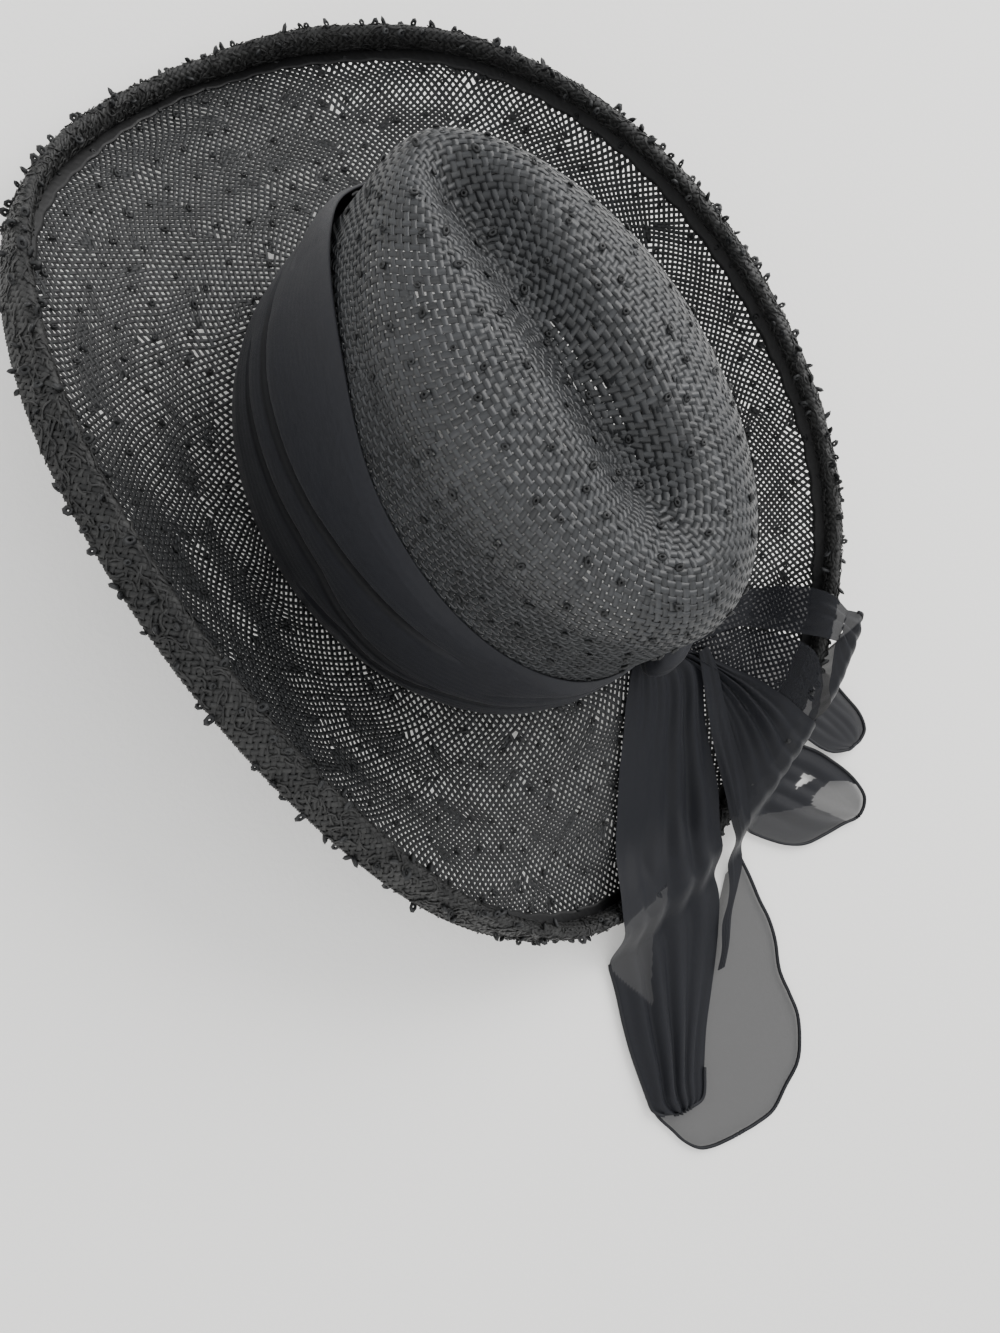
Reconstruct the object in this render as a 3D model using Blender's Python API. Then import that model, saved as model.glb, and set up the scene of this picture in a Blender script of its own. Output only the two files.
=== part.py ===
"""A wide brimmed black straw sun hat with a creased crown and a tied chiffon scarf.

Everything is in metres, +Z up. The wearer looks along -Y and has the left hand at +X.
The hat rests on its brim: the turned edge touches the surface at the front and at the back.
"""
import math

import bmesh
import bpy
from mathutils import Vector

# Head opening, an oval for a head of about 57 cm round
HEAD_HALF_LENGTH = 0.0985
HEAD_HALF_WIDTH = 0.0812

# Woven straw
STRAW_WALL = 0.0018
GAP = 0.0003

# Crown
CROWN_HEIGHT = 0.1185
TIP_HALF_LENGTH = 0.0867
TIP_HALF_WIDTH = 0.0502
TIP_BACK_SHIFT = 0.0046
SHOULDER_RADIUS = 0.022
TIP_DOME = 0.004
FRONT_PINCH = 0.20
CREASE_DEPTH = 0.017
CREASE_HALF_WIDTH = 0.0125
COLLAR_HEIGHT = 0.008

# Brim, measured to the outside of its turned edge
BRIM_HALF_LENGTH = 0.2037
BRIM_HALF_WIDTH = 0.1423
BRIM_FORWARD_SHIFT = 0.0022
BRIM_DIP = 0.0300
BRIM_LIFT = 0.0862
BRIM_SWEEP = 1.28

# Turned edge of the brim, standing on it
EDGE_WIDTH = 0.0058
EDGE_HEIGHT = 0.0112
EDGE_SQUASH = 0.0012
REST_SHARE = 0.02

# How far the edge reaches and lifts, as shares, every 22.5 degrees from the wearer's left
RIM_COLUMNS = ("reach", "lift")
RIM_ROWS = (
    (0.978, 1.000),
    (0.981, 0.905),
    (1.005, 0.590),
    (1.002, 0.186),
    (0.976, 0.000),
    (0.964, 0.205),
    (0.993, 0.578),
    (1.008, 0.828),
    (0.995, 0.900),
    (0.988, 0.828),
    (0.986, 0.577),
    (0.972, 0.205),
    (0.967, 0.000),
    (0.970, 0.165),
    (1.005, 0.552),
    (1.000, 0.882),
)

# Section of the turned edge, as shares of its width (inwards) and height (upwards)
EDGE_SECTION = (
    (0.00, 0.00),
    (0.00, 0.28),
    (0.02, 0.62),
    (0.16, 0.90),
    (0.46, 1.00),
    (0.78, 0.90),
    (0.98, 0.66),
    (0.98, 0.42),
    (0.80, 0.22),
    (0.80, 0.00),
    (0.32, 0.00),
)

# Scarf: a band round the crown, its knot behind the right ear and its two loose ends
CLOTH_WALL = 0.0012
CLOTH_SPACE = 0.0009
BAND_STAND = 0.0048
BAND_FRONT_STAND = 0.0030
KNOT_ANGLE = 111.0
KNOT_WIDTH = 0.034
KNOT_DEPTH = 0.017
KNOT_HEIGHT = 0.028
KNOT_CREASES = 3
KNOT_CREASE_CUT = 0.10
KNOT_WAIST_CUT = 0.12
LONG_END_LENGTH = 0.1950
LONG_END_WIDTH = 0.0950
LONG_END_SIDE_START = 0.0
END_START = 0.0130
LONG_END_FOLDS = 3
SHORT_END_LENGTH = 0.1300
SHORT_END_WIDTH = 0.1000
SHORT_END_SIDE_START = -0.021
SHORT_END_FOLDS = 4
FOLD_HEIGHT = 0.0050
EDGE_CLEARANCE = 0.0020

# Height of the band's upper edge as a share of the crown, every 30 degrees from the wearer's left
BAND_TOP_SHARES = (0.630, 0.545, 0.460, 0.370, 0.330, 0.400, 0.500, 0.560, 0.560, 0.500, 0.655, 0.715)

# The band's pleats from its lower to its upper edge
BAND_COLUMNS = ("height", "stand")
BAND_ROWS = (
    (0.00, 0.60),
    (0.09, 1.00),
    (0.13, 0.62),
    (0.24, 1.00),
    (0.28, 0.60),
    (0.40, 0.92),
    (0.45, 0.50),
    (0.74, 0.58),
    (1.00, 0.36),
)

# The loose ends lie away from the head line. Each row is a share of the end's length,
# its left and right borders as shares of its width from the knot, and how far its cloth
# is doubled back from the left border, as a share of that row's width.
END_COLUMNS = ("along", "left", "right", "doubled")
LONG_END_ROWS = (
    (0.00, 0.22, -0.21, 0.92),
    (0.06, 0.30, -0.19, 0.95),
    (0.16, 0.42, -0.15, 0.95),
    (0.27, 0.55, -0.10, 0.95),
    (0.38, 0.69, -0.04, 0.93),
    (0.45, 0.79, -0.03, 0.85),
    (0.53, 0.86, -0.02, 0.75),
    (0.62, 0.935, 0.00, 0.65),
    (0.71, 0.99, 0.05, 0.49),
    (0.80, 1.00, 0.10, 0.33),
    (0.88, 0.97, 0.155, 0.16),
    (0.94, 0.90, 0.24, 0.08),
    (0.98, 0.76, 0.37, 0.06),
    (1.00, 0.62, 0.50, 0.10),
)
SHORT_END_ROWS = (
    (0.00, 0.03, -0.10, 0.50),
    (0.12, 0.09, -0.22, 0.50),
    (0.24, 0.23, -0.25, 0.46),
    (0.34, 0.44, -0.25, 0.42),
    (0.41, 0.58, -0.24, 0.40),
    (0.53, 0.69, -0.23, 0.36),
    (0.64, 0.71, -0.19, 0.30),
    (0.76, 0.70, -0.13, 0.24),
    (0.87, 0.62, -0.05, 0.18),
    (0.95, 0.50, 0.06, 0.12),
    (1.00, 0.42, 0.24, 0.10),
)
SHORT_END_TURN = 38.0

# Mesh steps
AROUND = 64
WALL_RINGS = 4
SHOULDER_RINGS = 4
TIP_RINGS = 6
BRIM_RINGS = 7
UNDER_STEPS = 8
DOUBLED_STEPS = 5

# The brim's upper face at its lowest stretch, where the soft edge is pressed flat, and at the head
REST_LINE = STRAW_WALL - EDGE_SQUASH
HEAD_LINE = REST_LINE + BRIM_DIP


def through(values, place, closed):
    """Smooth curve through evenly spaced values; place counts in steps between them."""
    count = len(values)
    row = int(math.floor(place))
    step = place - row

    def value(index):
        if closed:
            return values[index % count]
        return values[min(count - 1, max(0, index))]

    before, here, after, beyond = (value(row + offset) for offset in (-1, 0, 1, 2))
    start = (after - before) / 2
    end = (beyond - here) / 2
    bend = 2 * here - 2 * after + start + end
    turn = -3 * here + 3 * after - 2 * start - end
    return ((bend * step + turn) * step + start) * step + here


def rim_share(angle, column):
    """Share of the rim's reach or lift at an angle."""
    values = [row[RIM_COLUMNS.index(column)] for row in RIM_ROWS]
    return through(values, angle / math.tau * len(values), closed=True)


def crown_point(angle, rise):
    """Point of the crown's outer wall: rise is 0 at the head line and 1 where the tip starts."""
    height = CROWN_HEIGHT * rise
    into = max(0.0, (height - CROWN_HEIGHT + SHOULDER_RADIUS) / SHOULDER_RADIUS)
    drawn_in = SHOULDER_RADIUS * (1 - math.sqrt(max(0.0, 1 - into * into)))
    half_width = HEAD_HALF_WIDTH + (TIP_HALF_WIDTH - HEAD_HALF_WIDTH) * rise - drawn_in
    half_length = HEAD_HALF_LENGTH + (TIP_HALF_LENGTH - HEAD_HALF_LENGTH) * rise - drawn_in
    front = max(0.0, -math.sin(angle))
    x = half_width * math.cos(angle) * (1 - FRONT_PINCH * rise * front ** 2)
    y = TIP_BACK_SHIFT * rise + half_length * math.sin(angle)
    return Vector((x, y, HEAD_LINE + height))


def crease(point, share):
    """Depth of the long crease below the tip; share is 1 where the tip starts, 0 at its middle."""
    along = (point.y - TIP_BACK_SHIFT) / TIP_HALF_LENGTH
    front_end = min(1.0, max(0.0, (along + 1.0) / 0.30))
    back_end = min(1.0, max(0.0, (0.78 - along) / 0.45))
    ends = math.sin(front_end * math.pi / 2) * math.sin(back_end * math.pi / 2) ** 2
    return CREASE_DEPTH * ends * math.exp(-(point.x / CREASE_HALF_WIDTH) ** 2) * share


def crown_surface(angle, along):
    """Point of the whole outer surface: along is 0 at the head line, 1 at the tip's edge, 2 at its middle."""
    if along <= 1.0:
        point = crown_point(angle, along)
        share = max(0.0, (along - 0.8) / 0.2) ** 1.5
    else:
        edge = crown_point(angle, 1.0)
        inward = 2.0 - along
        point = Vector((edge.x * inward, TIP_BACK_SHIFT + (edge.y - TIP_BACK_SHIFT) * inward, edge.z))
        point.z += TIP_DOME * (1 - inward ** 2)
        share = 1.0
    point.z -= crease(point, share)
    return point


def crown_wall_point(angle, rise, outward):
    """Point at a distance outside the crown's wall, along the wall's own normal."""
    small = 0.004
    point = crown_point(angle, rise)
    around = crown_point(angle + small, rise) - crown_point(angle - small, rise)
    upward = crown_point(angle, rise + small) - crown_point(angle, max(0.0, rise - small))
    return point + around.cross(upward).normalized() * outward


def brim_plan(angle, share):
    """Plan position and height of the brim's upper face: share is 0 at the head line, 1 at the edge."""
    reach = rim_share(angle, "reach")
    outer_x = BRIM_HALF_WIDTH * math.cos(angle) * reach
    outer_y = BRIM_HALF_LENGTH * math.sin(angle) * reach - BRIM_FORWARD_SHIFT
    x = HEAD_HALF_WIDTH * math.cos(angle) * (1 - share) + outer_x * share
    y = HEAD_HALF_LENGTH * math.sin(angle) * (1 - share) + outer_y * share
    edge_height = REST_LINE + BRIM_LIFT * max(0.0, rim_share(angle, "lift") - REST_SHARE)
    z = HEAD_LINE + (edge_height - HEAD_LINE) * share ** BRIM_SWEEP
    return Vector((x, y, z))


def brim_frame(angle, share):
    """The brim's outward and upward directions at a point."""
    small = 0.004
    around = brim_plan(angle + small, share) - brim_plan(angle - small, share)
    outward = brim_plan(angle, share) - brim_plan(angle, share - small)
    normal = outward.cross(around).normalized()
    if normal.z < 0:
        normal = -normal
    side = around.normalized()
    return side.cross(normal).normalized(), normal


def edge_frame(angle):
    """The turned edge's outward and upward directions: it leans in with the brim, but never outwards."""
    outward, upward = brim_frame(angle, 1.0)
    flat = Vector((outward.x, outward.y, 0.0)).normalized()
    lean = upward.dot(flat)
    if lean > 0:
        upward = (upward - flat * lean).normalized()
        side = upward.cross(outward).normalized()
        outward = side.cross(upward).normalized()
    return outward, upward


def plain_material(name, colour, roughness):
    """A Principled material of one colour."""
    material = bpy.data.materials.new(name)
    material.use_nodes = True
    shader = material.node_tree.nodes["Principled BSDF"]
    shader.inputs["Base Color"].default_value = (*colour, 1.0)
    shader.inputs["Roughness"].default_value = roughness
    shader.inputs["Metallic"].default_value = 0.0
    material.diffuse_color = (*colour, 1.0)
    return material


def add_object(name, mesh_maker, material, parent):
    """Make one named object from a bmesh that the maker fills."""
    shape = bmesh.new()
    mesh_maker(shape)
    shape.normal_update()
    bmesh.ops.recalc_face_normals(shape, faces=shape.faces)
    mesh = bpy.data.meshes.new(name)
    shape.to_mesh(mesh)
    shape.free()
    mesh.shade_smooth()
    mesh.set_sharp_from_angle(angle=math.radians(50))
    mesh.materials.append(material)
    thing = bpy.data.objects.new(name, mesh)
    bpy.context.scene.collection.objects.link(thing)
    thing.parent = parent
    return thing


def skin(shape, rings, closed_rings=True, closed_around=False):
    """Join rings of points with quads."""
    rows = [[shape.verts.new(point) for point in ring] for ring in rings]
    pairs = list(zip(rows, rows[1:] + rows[:1])) if closed_around else list(zip(rows, rows[1:]))
    count = len(rows[0])
    last = count if closed_rings else count - 1
    for low, high in pairs:
        for step in range(last):
            ahead = (step + 1) % count
            shape.faces.new((low[step], low[ahead], high[ahead], high[step]))
    return rows


def angles():
    return [math.tau * step / AROUND for step in range(AROUND)]


def make_crown(shape):
    seat = (STRAW_WALL * 0.5) / CROWN_HEIGHT
    rises = [seat + (1 - SHOULDER_RADIUS / CROWN_HEIGHT - seat) * step / WALL_RINGS
             for step in range(WALL_RINGS + 1)]
    start = 1 - SHOULDER_RADIUS / CROWN_HEIGHT
    rises += [start + (1 - start) * math.sin(math.pi / 2 * step / SHOULDER_RINGS)
              for step in range(1, SHOULDER_RINGS + 1)]
    rises += [1 + step / TIP_RINGS for step in range(1, TIP_RINGS)]
    rings = [[crown_surface(angle, rise) for angle in angles()] for rise in rises]
    rows = skin(shape, rings)
    middle = shape.verts.new(crown_surface(0.0, 2.0))
    for step in range(AROUND):
        shape.faces.new((rows[-1][step], rows[-1][(step + 1) % AROUND], middle))


def make_brim(shape):
    collar = COLLAR_HEIGHT / CROWN_HEIGHT
    depth = -(STRAW_WALL + GAP)
    top = [crown_wall_point(angle, collar, depth) for angle in angles()]
    low = []
    for angle in angles():
        point = crown_wall_point(angle, 0.0, depth)
        low.append(Vector((point.x, point.y, HEAD_LINE - GAP)))
    rings = [top, low]
    for step in range(BRIM_RINGS + 1):
        ring = []
        for angle in angles():
            edge = brim_plan(angle, 1.0)
            inner = brim_plan(angle, 0.0)
            end = 1 - (EDGE_WIDTH + GAP) / (edge - inner).length
            point = brim_plan(angle, end * step / BRIM_RINGS)
            ring.append(point - Vector((0, 0, GAP)) if step == 0 else point)
        rings.append(ring)
    skin(shape, rings)


def make_edge(shape):
    rings = []
    for angle in angles():
        outward, upward = edge_frame(angle)
        edge = brim_plan(angle, 1.0)
        ring = []
        for inward_share, up_share in EDGE_SECTION:
            rise = -STRAW_WALL + (EDGE_HEIGHT + STRAW_WALL) * up_share
            point = edge - outward * EDGE_WIDTH * inward_share + upward * rise
            point.z = max(0.0, point.z)
            ring.append(point)
        rings.append(ring)
    skin(shape, rings, closed_around=True)


def band_top(angle):
    """Height share of the band's upper edge at an angle."""
    return through(BAND_TOP_SHARES, angle / math.tau * len(BAND_TOP_SHARES), closed=True)


def band_seat():
    """Height share of the band's lower edge, just clear of the brim."""
    return (BAND_STAND * 0.5 + GAP) / CROWN_HEIGHT


def make_band(shape):
    seat = band_seat()
    rings = []
    for angle in angles():
        top = band_top(angle)
        front = max(0.0, -math.sin(angle)) ** 2
        ring = []
        for height, stand in BAND_ROWS:
            rise = seat + (top - seat) * height
            outward = BAND_STAND * stand + BAND_FRONT_STAND * front * height
            ring.append(crown_wall_point(angle, rise, outward))
        for height in (1.0, 0.66, 0.33, 0.0):
            rise = seat + (top - seat) * height
            ring.append(crown_wall_point(angle, rise, GAP + BAND_FRONT_STAND * front * height * 0.6))
        rings.append(ring)
    skin(shape, rings, closed_around=True)


def band_stand(height):
    """How far the band stands off the crown at a share of its height."""
    for (low, low_stand), (high, high_stand) in zip(BAND_ROWS, BAND_ROWS[1:]):
        if low <= height <= high:
            return BAND_STAND * (low_stand + (high_stand - low_stand) * (height - low) / (high - low))
    return BAND_STAND


def knot_place():
    """Middle of the knot, which leans on the band just above the brim."""
    angle = math.radians(KNOT_ANGLE)
    seat = band_seat()
    rise = seat + KNOT_HEIGHT / 2 / CROWN_HEIGHT
    stand = band_stand((rise - seat) / (band_top(angle) - seat))
    return crown_wall_point(angle, rise, stand + GAP + KNOT_DEPTH / 2 * (1 - KNOT_CREASE_CUT))


def knot_directions():
    """Outward and sideways directions of the knot, in plan."""
    angle = math.radians(KNOT_ANGLE)
    outward = Vector((math.cos(angle) * HEAD_HALF_LENGTH, math.sin(angle) * HEAD_HALF_WIDTH, 0)).normalized()
    return outward, Vector((outward.y, -outward.x, 0))


def make_knot(shape):
    """A rounded knot with creases that run over it from the band to the loose ends."""
    middle = knot_place()
    outward, side = knot_directions()
    bmesh.ops.create_uvsphere(shape, u_segments=16, v_segments=10, radius=0.5)
    for vert in shape.verts:
        across, deep, high = vert.co * 2
        crease_cut = 1 - KNOT_CREASE_CUT * (0.5 + 0.5 * math.cos(KNOT_CREASES * math.pi * high + across))
        waist = 1 - KNOT_WAIST_CUT * math.exp(-(across * 3) ** 2)
        vert.co = (middle + side * across * KNOT_WIDTH / 2
                   + outward * deep * crease_cut * KNOT_DEPTH / 2
                   + Vector((0, 0, high * waist * KNOT_HEIGHT / 2)))


def brim_place(x, y):
    """Angle and share of the brim's surface below a point in plan; the share passes 1 beyond the edge."""
    share = 0.5
    angle = math.atan2(y / HEAD_HALF_LENGTH, x / HEAD_HALF_WIDTH)
    for _ in range(12):
        inner = brim_plan(angle, 0.0)
        outer = brim_plan(angle, 1.0)
        width = inner.x + (outer.x - inner.x) * share
        length = inner.y + (outer.y - inner.y) * share
        radius = math.hypot(width, length)
        share += (math.hypot(x, y) - radius) / (outer - inner).length
        share = max(0.0, share)
        half_width = HEAD_HALF_WIDTH + (BRIM_HALF_WIDTH - HEAD_HALF_WIDTH) * share
        half_length = HEAD_HALF_LENGTH + (BRIM_HALF_LENGTH - HEAD_HALF_LENGTH) * share
        angle = math.atan2((y + BRIM_FORWARD_SHIFT * share) / half_length, x / half_width)
    return angle, share


def cloth_height(x, y):
    """Lowest height at which cloth clears the brim, its turned edge and the surface below."""
    angle, share = brim_place(x, y)
    inner = brim_plan(angle, 0.0)
    outer = brim_plan(angle, 1.0)
    breadth = (outer - inner).length
    edge_top = outer.z + EDGE_HEIGHT + EDGE_CLEARANCE
    from_edge = (share - 1) * breadth
    if from_edge > 0:
        fall = 0.012 + 0.35 * edge_top
        left = max(0.0, 1 - max(0.0, from_edge - EDGE_CLEARANCE) / fall)
        return GAP + (edge_top - GAP) * (3 * left ** 2 - 2 * left ** 3)
    ramp = EDGE_WIDTH + 3.0 * EDGE_HEIGHT
    near = min(1.0, max(0.0, (from_edge + ramp) / (ramp - 1.6 * EDGE_WIDTH)))
    surface = brim_plan(angle, min(1.0, share)).z + GAP * 2
    return surface + (edge_top - surface) * near ** 2 * (3 - 2 * near)


def end_section(row, width, folds):
    """Across places, layer numbers and fold heights of one row of a loose end."""
    along, left, right, doubled = row
    points = []
    for step in range(UNDER_STEPS + 1):
        share = step / UNDER_STEPS
        points.append((right + (left - right) * share, 0.0))
    points.append((left + 0.004, 0.5))
    for step in range(DOUBLED_STEPS + 1):
        share = step / DOUBLED_STEPS
        points.append((left - (left - right) * doubled * share, 1.0))
    gather = FOLD_HEIGHT * (1 - along) ** 2
    return [(across * width, layer, gather * (0.5 - 0.5 * math.cos(folds * math.tau * (across - right) / 0.6)))
            for across, layer in points]


def make_end(shape, rows, length, width, folds, side_start, turn_degrees):
    """One loose end: a sheet that lies over the brim and its edge, doubled back along its left border."""
    turn = math.radians(turn_degrees)
    ahead = Vector((-math.sin(turn), math.cos(turn), 0))
    left_side = Vector((math.cos(turn), math.sin(turn), 0))
    knot = knot_place()
    start = Vector((knot.x, knot.y, 0)) + knot_directions()[1] * side_start + ahead * END_START
    rings = []
    for row in rows:
        ring = []
        for across, layer, fold in end_section(row, width, folds):
            plan = start + ahead * row[0] * length + left_side * across
            height = cloth_height(plan.x, plan.y) + CLOTH_WALL + fold + layer * CLOTH_SPACE
            ring.append(Vector((plan.x, plan.y, height)))
        rings.append(ring)
    skin(shape, rings, closed_rings=False)


def make_long_end(shape):
    make_end(shape, LONG_END_ROWS, LONG_END_LENGTH, LONG_END_WIDTH, LONG_END_FOLDS,
             LONG_END_SIDE_START, 0.0)


def make_short_end(shape):
    make_end(shape, SHORT_END_ROWS, SHORT_END_LENGTH, SHORT_END_WIDTH, SHORT_END_FOLDS,
             SHORT_END_SIDE_START, SHORT_END_TURN)


def thicken(thing, thickness):
    """Give an open surface a wall on its inner side."""
    wall = thing.modifiers.new("wall", 'SOLIDIFY')
    wall.thickness = thickness
    wall.offset = -1.0
    wall.use_even_offset = True
    wall.use_rim = True
    return wall


def stand_on_origin(root):
    """Move the root so that the origin is at the bottom centre of the whole hat's box."""
    bpy.context.view_layer.update()
    depsgraph = bpy.context.evaluated_depsgraph_get()
    corners = []
    for thing in root.children:
        evaluated = thing.evaluated_get(depsgraph)
        corners += [evaluated.matrix_world @ vert.co for vert in evaluated.to_mesh().vertices]
        evaluated.to_mesh_clear()
    low = [min(corner[axis] for corner in corners) for axis in range(3)]
    high = [max(corner[axis] for corner in corners) for axis in range(3)]
    root.location = (-(low[0] + high[0]) / 2, -(low[1] + high[1]) / 2, -low[2])


def main():
    for thing in list(bpy.data.objects):
        bpy.data.objects.remove(thing, do_unlink=True)
    root = bpy.data.objects.new("hat_root", None)
    bpy.context.scene.collection.objects.link(root)

    straw = plain_material("black_straw", (0.045, 0.047, 0.052), 0.55)
    edge_straw = plain_material("edge_straw", (0.030, 0.031, 0.035), 0.7)
    crown = add_object("crown", make_crown, straw, root)
    thicken(crown, STRAW_WALL)
    brim = add_object("brim", make_brim, straw, root)
    thicken(brim, STRAW_WALL)
    add_object("turned_edge", make_edge, edge_straw, root)
    chiffon = plain_material("black_chiffon", (0.012, 0.013, 0.018), 0.6)
    add_object("scarf_band", make_band, chiffon, root)
    add_object("scarf_knot", make_knot, chiffon, root)
    long_end = add_object("scarf_long_end", make_long_end, chiffon, root)
    thicken(long_end, CLOTH_WALL)
    short_end = add_object("scarf_short_end", make_short_end, chiffon, root)
    thicken(short_end, CLOTH_WALL)
    stand_on_origin(root)


main()
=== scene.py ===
# %% [markdown]
# # A black straw sun hat with a chiffon scarf
# The hat lies on a pale table. Its brim dips at the front and the back and turns up at both
# sides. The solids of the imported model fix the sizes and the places. This lesson weaves the
# straw over those solids strand by strand, rolls the edge, scatters the small knots of the
# straw, and wraps the scarf, all as real geometry with finishes made of shader nodes.

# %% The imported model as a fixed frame
import math

import bmesh
import bpy
import numpy as np
from mathutils import Matrix, Vector


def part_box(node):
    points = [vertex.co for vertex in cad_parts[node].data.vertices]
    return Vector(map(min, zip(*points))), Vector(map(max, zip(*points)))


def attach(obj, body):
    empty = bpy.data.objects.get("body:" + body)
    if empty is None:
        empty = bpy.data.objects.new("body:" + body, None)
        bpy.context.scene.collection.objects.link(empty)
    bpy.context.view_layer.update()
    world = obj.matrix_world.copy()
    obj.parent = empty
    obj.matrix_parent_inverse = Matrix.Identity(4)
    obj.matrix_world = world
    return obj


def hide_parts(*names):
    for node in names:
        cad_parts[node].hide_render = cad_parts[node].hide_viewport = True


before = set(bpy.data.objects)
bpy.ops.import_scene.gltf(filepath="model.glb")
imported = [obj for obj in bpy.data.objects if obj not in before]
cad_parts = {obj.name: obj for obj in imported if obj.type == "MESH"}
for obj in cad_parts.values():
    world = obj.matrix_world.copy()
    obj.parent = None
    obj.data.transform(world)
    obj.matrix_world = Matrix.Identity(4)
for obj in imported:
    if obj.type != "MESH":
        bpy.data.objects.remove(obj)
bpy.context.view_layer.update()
crown_low, crown_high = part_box("crown")
PLAN_MIDDLE = np.array([(crown_low.x + crown_high.x) / 2, (crown_low.y + crown_high.y) / 2, 0.0])
scene = bpy.context.scene
print("frame loaded, plan middle", PLAN_MIDDLE.round(5))

# %% [markdown]
# ## The view
# The picture of the hat was taken from above its left side with the camera rolled, so the
# long axis of the hat runs across the upright picture. The place of the lens and its three
# directions are measured from the hat itself, so they are given from the middle of the head.

# %% Camera
CAMERA_PLACE = np.array([0.1717, 0.0368, 0.4024])
CAMERA_RIGHT = (-0.7743, 0.5273, 0.3498)
CAMERA_UP = (-0.5225, -0.8446, 0.1165)
CAMERA_BACK = (0.3569, -0.0926, 0.9295)
LENS_MM = 27.03
camera = bpy.data.objects.new("camera", bpy.data.cameras.new("camera"))
scene.collection.objects.link(camera)
turn = Matrix((CAMERA_RIGHT, CAMERA_UP, CAMERA_BACK)).transposed()
place = Vector(CAMERA_PLACE + PLAN_MIDDLE)
camera.matrix_world = Matrix.Translation(place) @ turn.to_4x4()
camera.data.lens = LENS_MM
camera.data.clip_start = 0.01
scene.camera = camera
print("camera at", [round(value, 4) for value in place])

# %% [markdown]
# ## Floor and light
# A pale, slightly textured table stands under the hat. Its finish holds painted light: the
# table is no lamp, yet it glows a little, more with distance from the middle, so that the
# holes of the brim stay light. Under the crown it doesn't, so the pinholes there stay dark.
# The light is that of a bright room: a soft sky all round, a large soft window high above the
# crown's far side, and a weak fill.

# %% A helper for shader nodes
def add_node(tree, kind, values=None, **settings):
    """A node with its settings and the values of its sockets."""
    node = tree.nodes.new("ShaderNode" + kind)
    for name, value in settings.items():
        setattr(node, name, value)
    for name, value in (values or {}).items():
        node.inputs[name].default_value = value
    return node


# %% Floor
FLOOR_SIZE = 12.0
FLOOR_COLOUR = (0.80, 0.79, 0.77)
# Painted light: the table's emission, off under the crown and full a little beyond it.
PAINTED_GLOW_COLOUR = (1.0, 0.99, 0.965)
PAINTED_GLOW_STRENGTH = 0.24
PAINTED_GLOW_STARTS = 0.065
PAINTED_GLOW_IS_FULL = 0.12
floor_shape = bmesh.new()
bmesh.ops.create_grid(floor_shape, x_segments=2, y_segments=2, size=FLOOR_SIZE / 2)
floor_mesh = bpy.data.meshes.new("floor")
floor_shape.to_mesh(floor_mesh)
floor_shape.free()
floor = bpy.data.objects.new("floor", floor_mesh)
scene.collection.objects.link(floor)
floor_material = bpy.data.materials.new("table_top_with_painted_glow")
floor_material.use_nodes = True
floor_tree = floor_material.node_tree
floor_links = floor_tree.links
floor_shader = floor_tree.nodes["Principled BSDF"]
floor_shader.inputs["Base Color"].default_value = (*FLOOR_COLOUR, 1.0)
floor_shader.inputs["Emission Color"].default_value = (*PAINTED_GLOW_COLOUR, 1.0)
floor_shader.inputs["Roughness"].default_value = 0.9
floor_shader.inputs["Specular IOR Level"].default_value = 0.1
floor_grain = add_node(floor_tree, "TexNoise", {"Scale": 420.0})
floor_bump = add_node(floor_tree, "Bump", {"Strength": 0.25, "Distance": 0.0006})
floor_place = add_node(floor_tree, "TexCoord")
floor_from = add_node(floor_tree, "VectorMath", operation='DISTANCE')
floor_from.inputs[1].default_value = PLAN_MIDDLE
# Painted light: emission that rises with distance from the middle of the head.
floor_painted_glow = add_node(floor_tree, "MapRange", {"From Min": PAINTED_GLOW_STARTS, "From Max": PAINTED_GLOW_IS_FULL,
                                               "To Min": 0.0, "To Max": PAINTED_GLOW_STRENGTH})
floor_links.new(floor_place.outputs["Object"], floor_grain.inputs["Vector"])
floor_links.new(floor_grain.outputs["Fac"], floor_bump.inputs["Height"])
floor_links.new(floor_bump.outputs["Normal"], floor_shader.inputs["Normal"])
floor_links.new(floor_place.outputs["Object"], floor_from.inputs[0])
floor_links.new(floor_from.outputs["Value"], floor_painted_glow.inputs["Value"])
floor_links.new(floor_painted_glow.outputs["Result"], floor_shader.inputs["Emission Strength"])
floor_mesh.materials.append(floor_material)

# %% Light
SKY_COLOUR = (0.97, 0.985, 1.0)
SKY_STRENGTH = 1.2
world = bpy.data.worlds.new("room")
scene.world = world
world.use_nodes = True
sky = world.node_tree.nodes["Background"]
sky.inputs["Color"].default_value = (*SKY_COLOUR, 1.0)
sky.inputs["Strength"].default_value = SKY_STRENGTH


def soft_window(name, place, aim, size, power, colour):
    """A large rectangular lamp at a place that looks at another."""
    lamp = bpy.data.lights.new(name, 'AREA')
    lamp.shape = 'RECTANGLE'
    lamp.size, lamp.size_y = size
    lamp.energy = power
    lamp.color = colour
    lamp_object = bpy.data.objects.new(name, lamp)
    scene.collection.objects.link(lamp_object)
    lamp_object.location = place
    lamp_object.rotation_euler = (Vector(aim) - Vector(place)).to_track_quat('-Z', 'Y').to_euler()


soft_window("window", (-1.5, -0.5, 1.3), (0, 0, 0.05), (1.6, 1.6), 48.0, (1.0, 0.99, 0.98))
soft_window("fill", (1.6, 1.2, 1.4), (0, 0, 0.05), (1.8, 1.8), 15.0, (1.0, 0.98, 0.95))
print("floor, sky and two windows")

# %% [markdown]
# ## The shape of the hat
# The sizes below are those of the solids. The crown is an oval wall that leans in to a tip
# with a long crease. The brim is a band between the oval of the head and the oval of the rim,
# which reaches and lifts by the shares of a short table, one row for every 22.5 degrees from
# the wearer's left. Each surface is a function that takes whole arrays of angles and shares.

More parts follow.
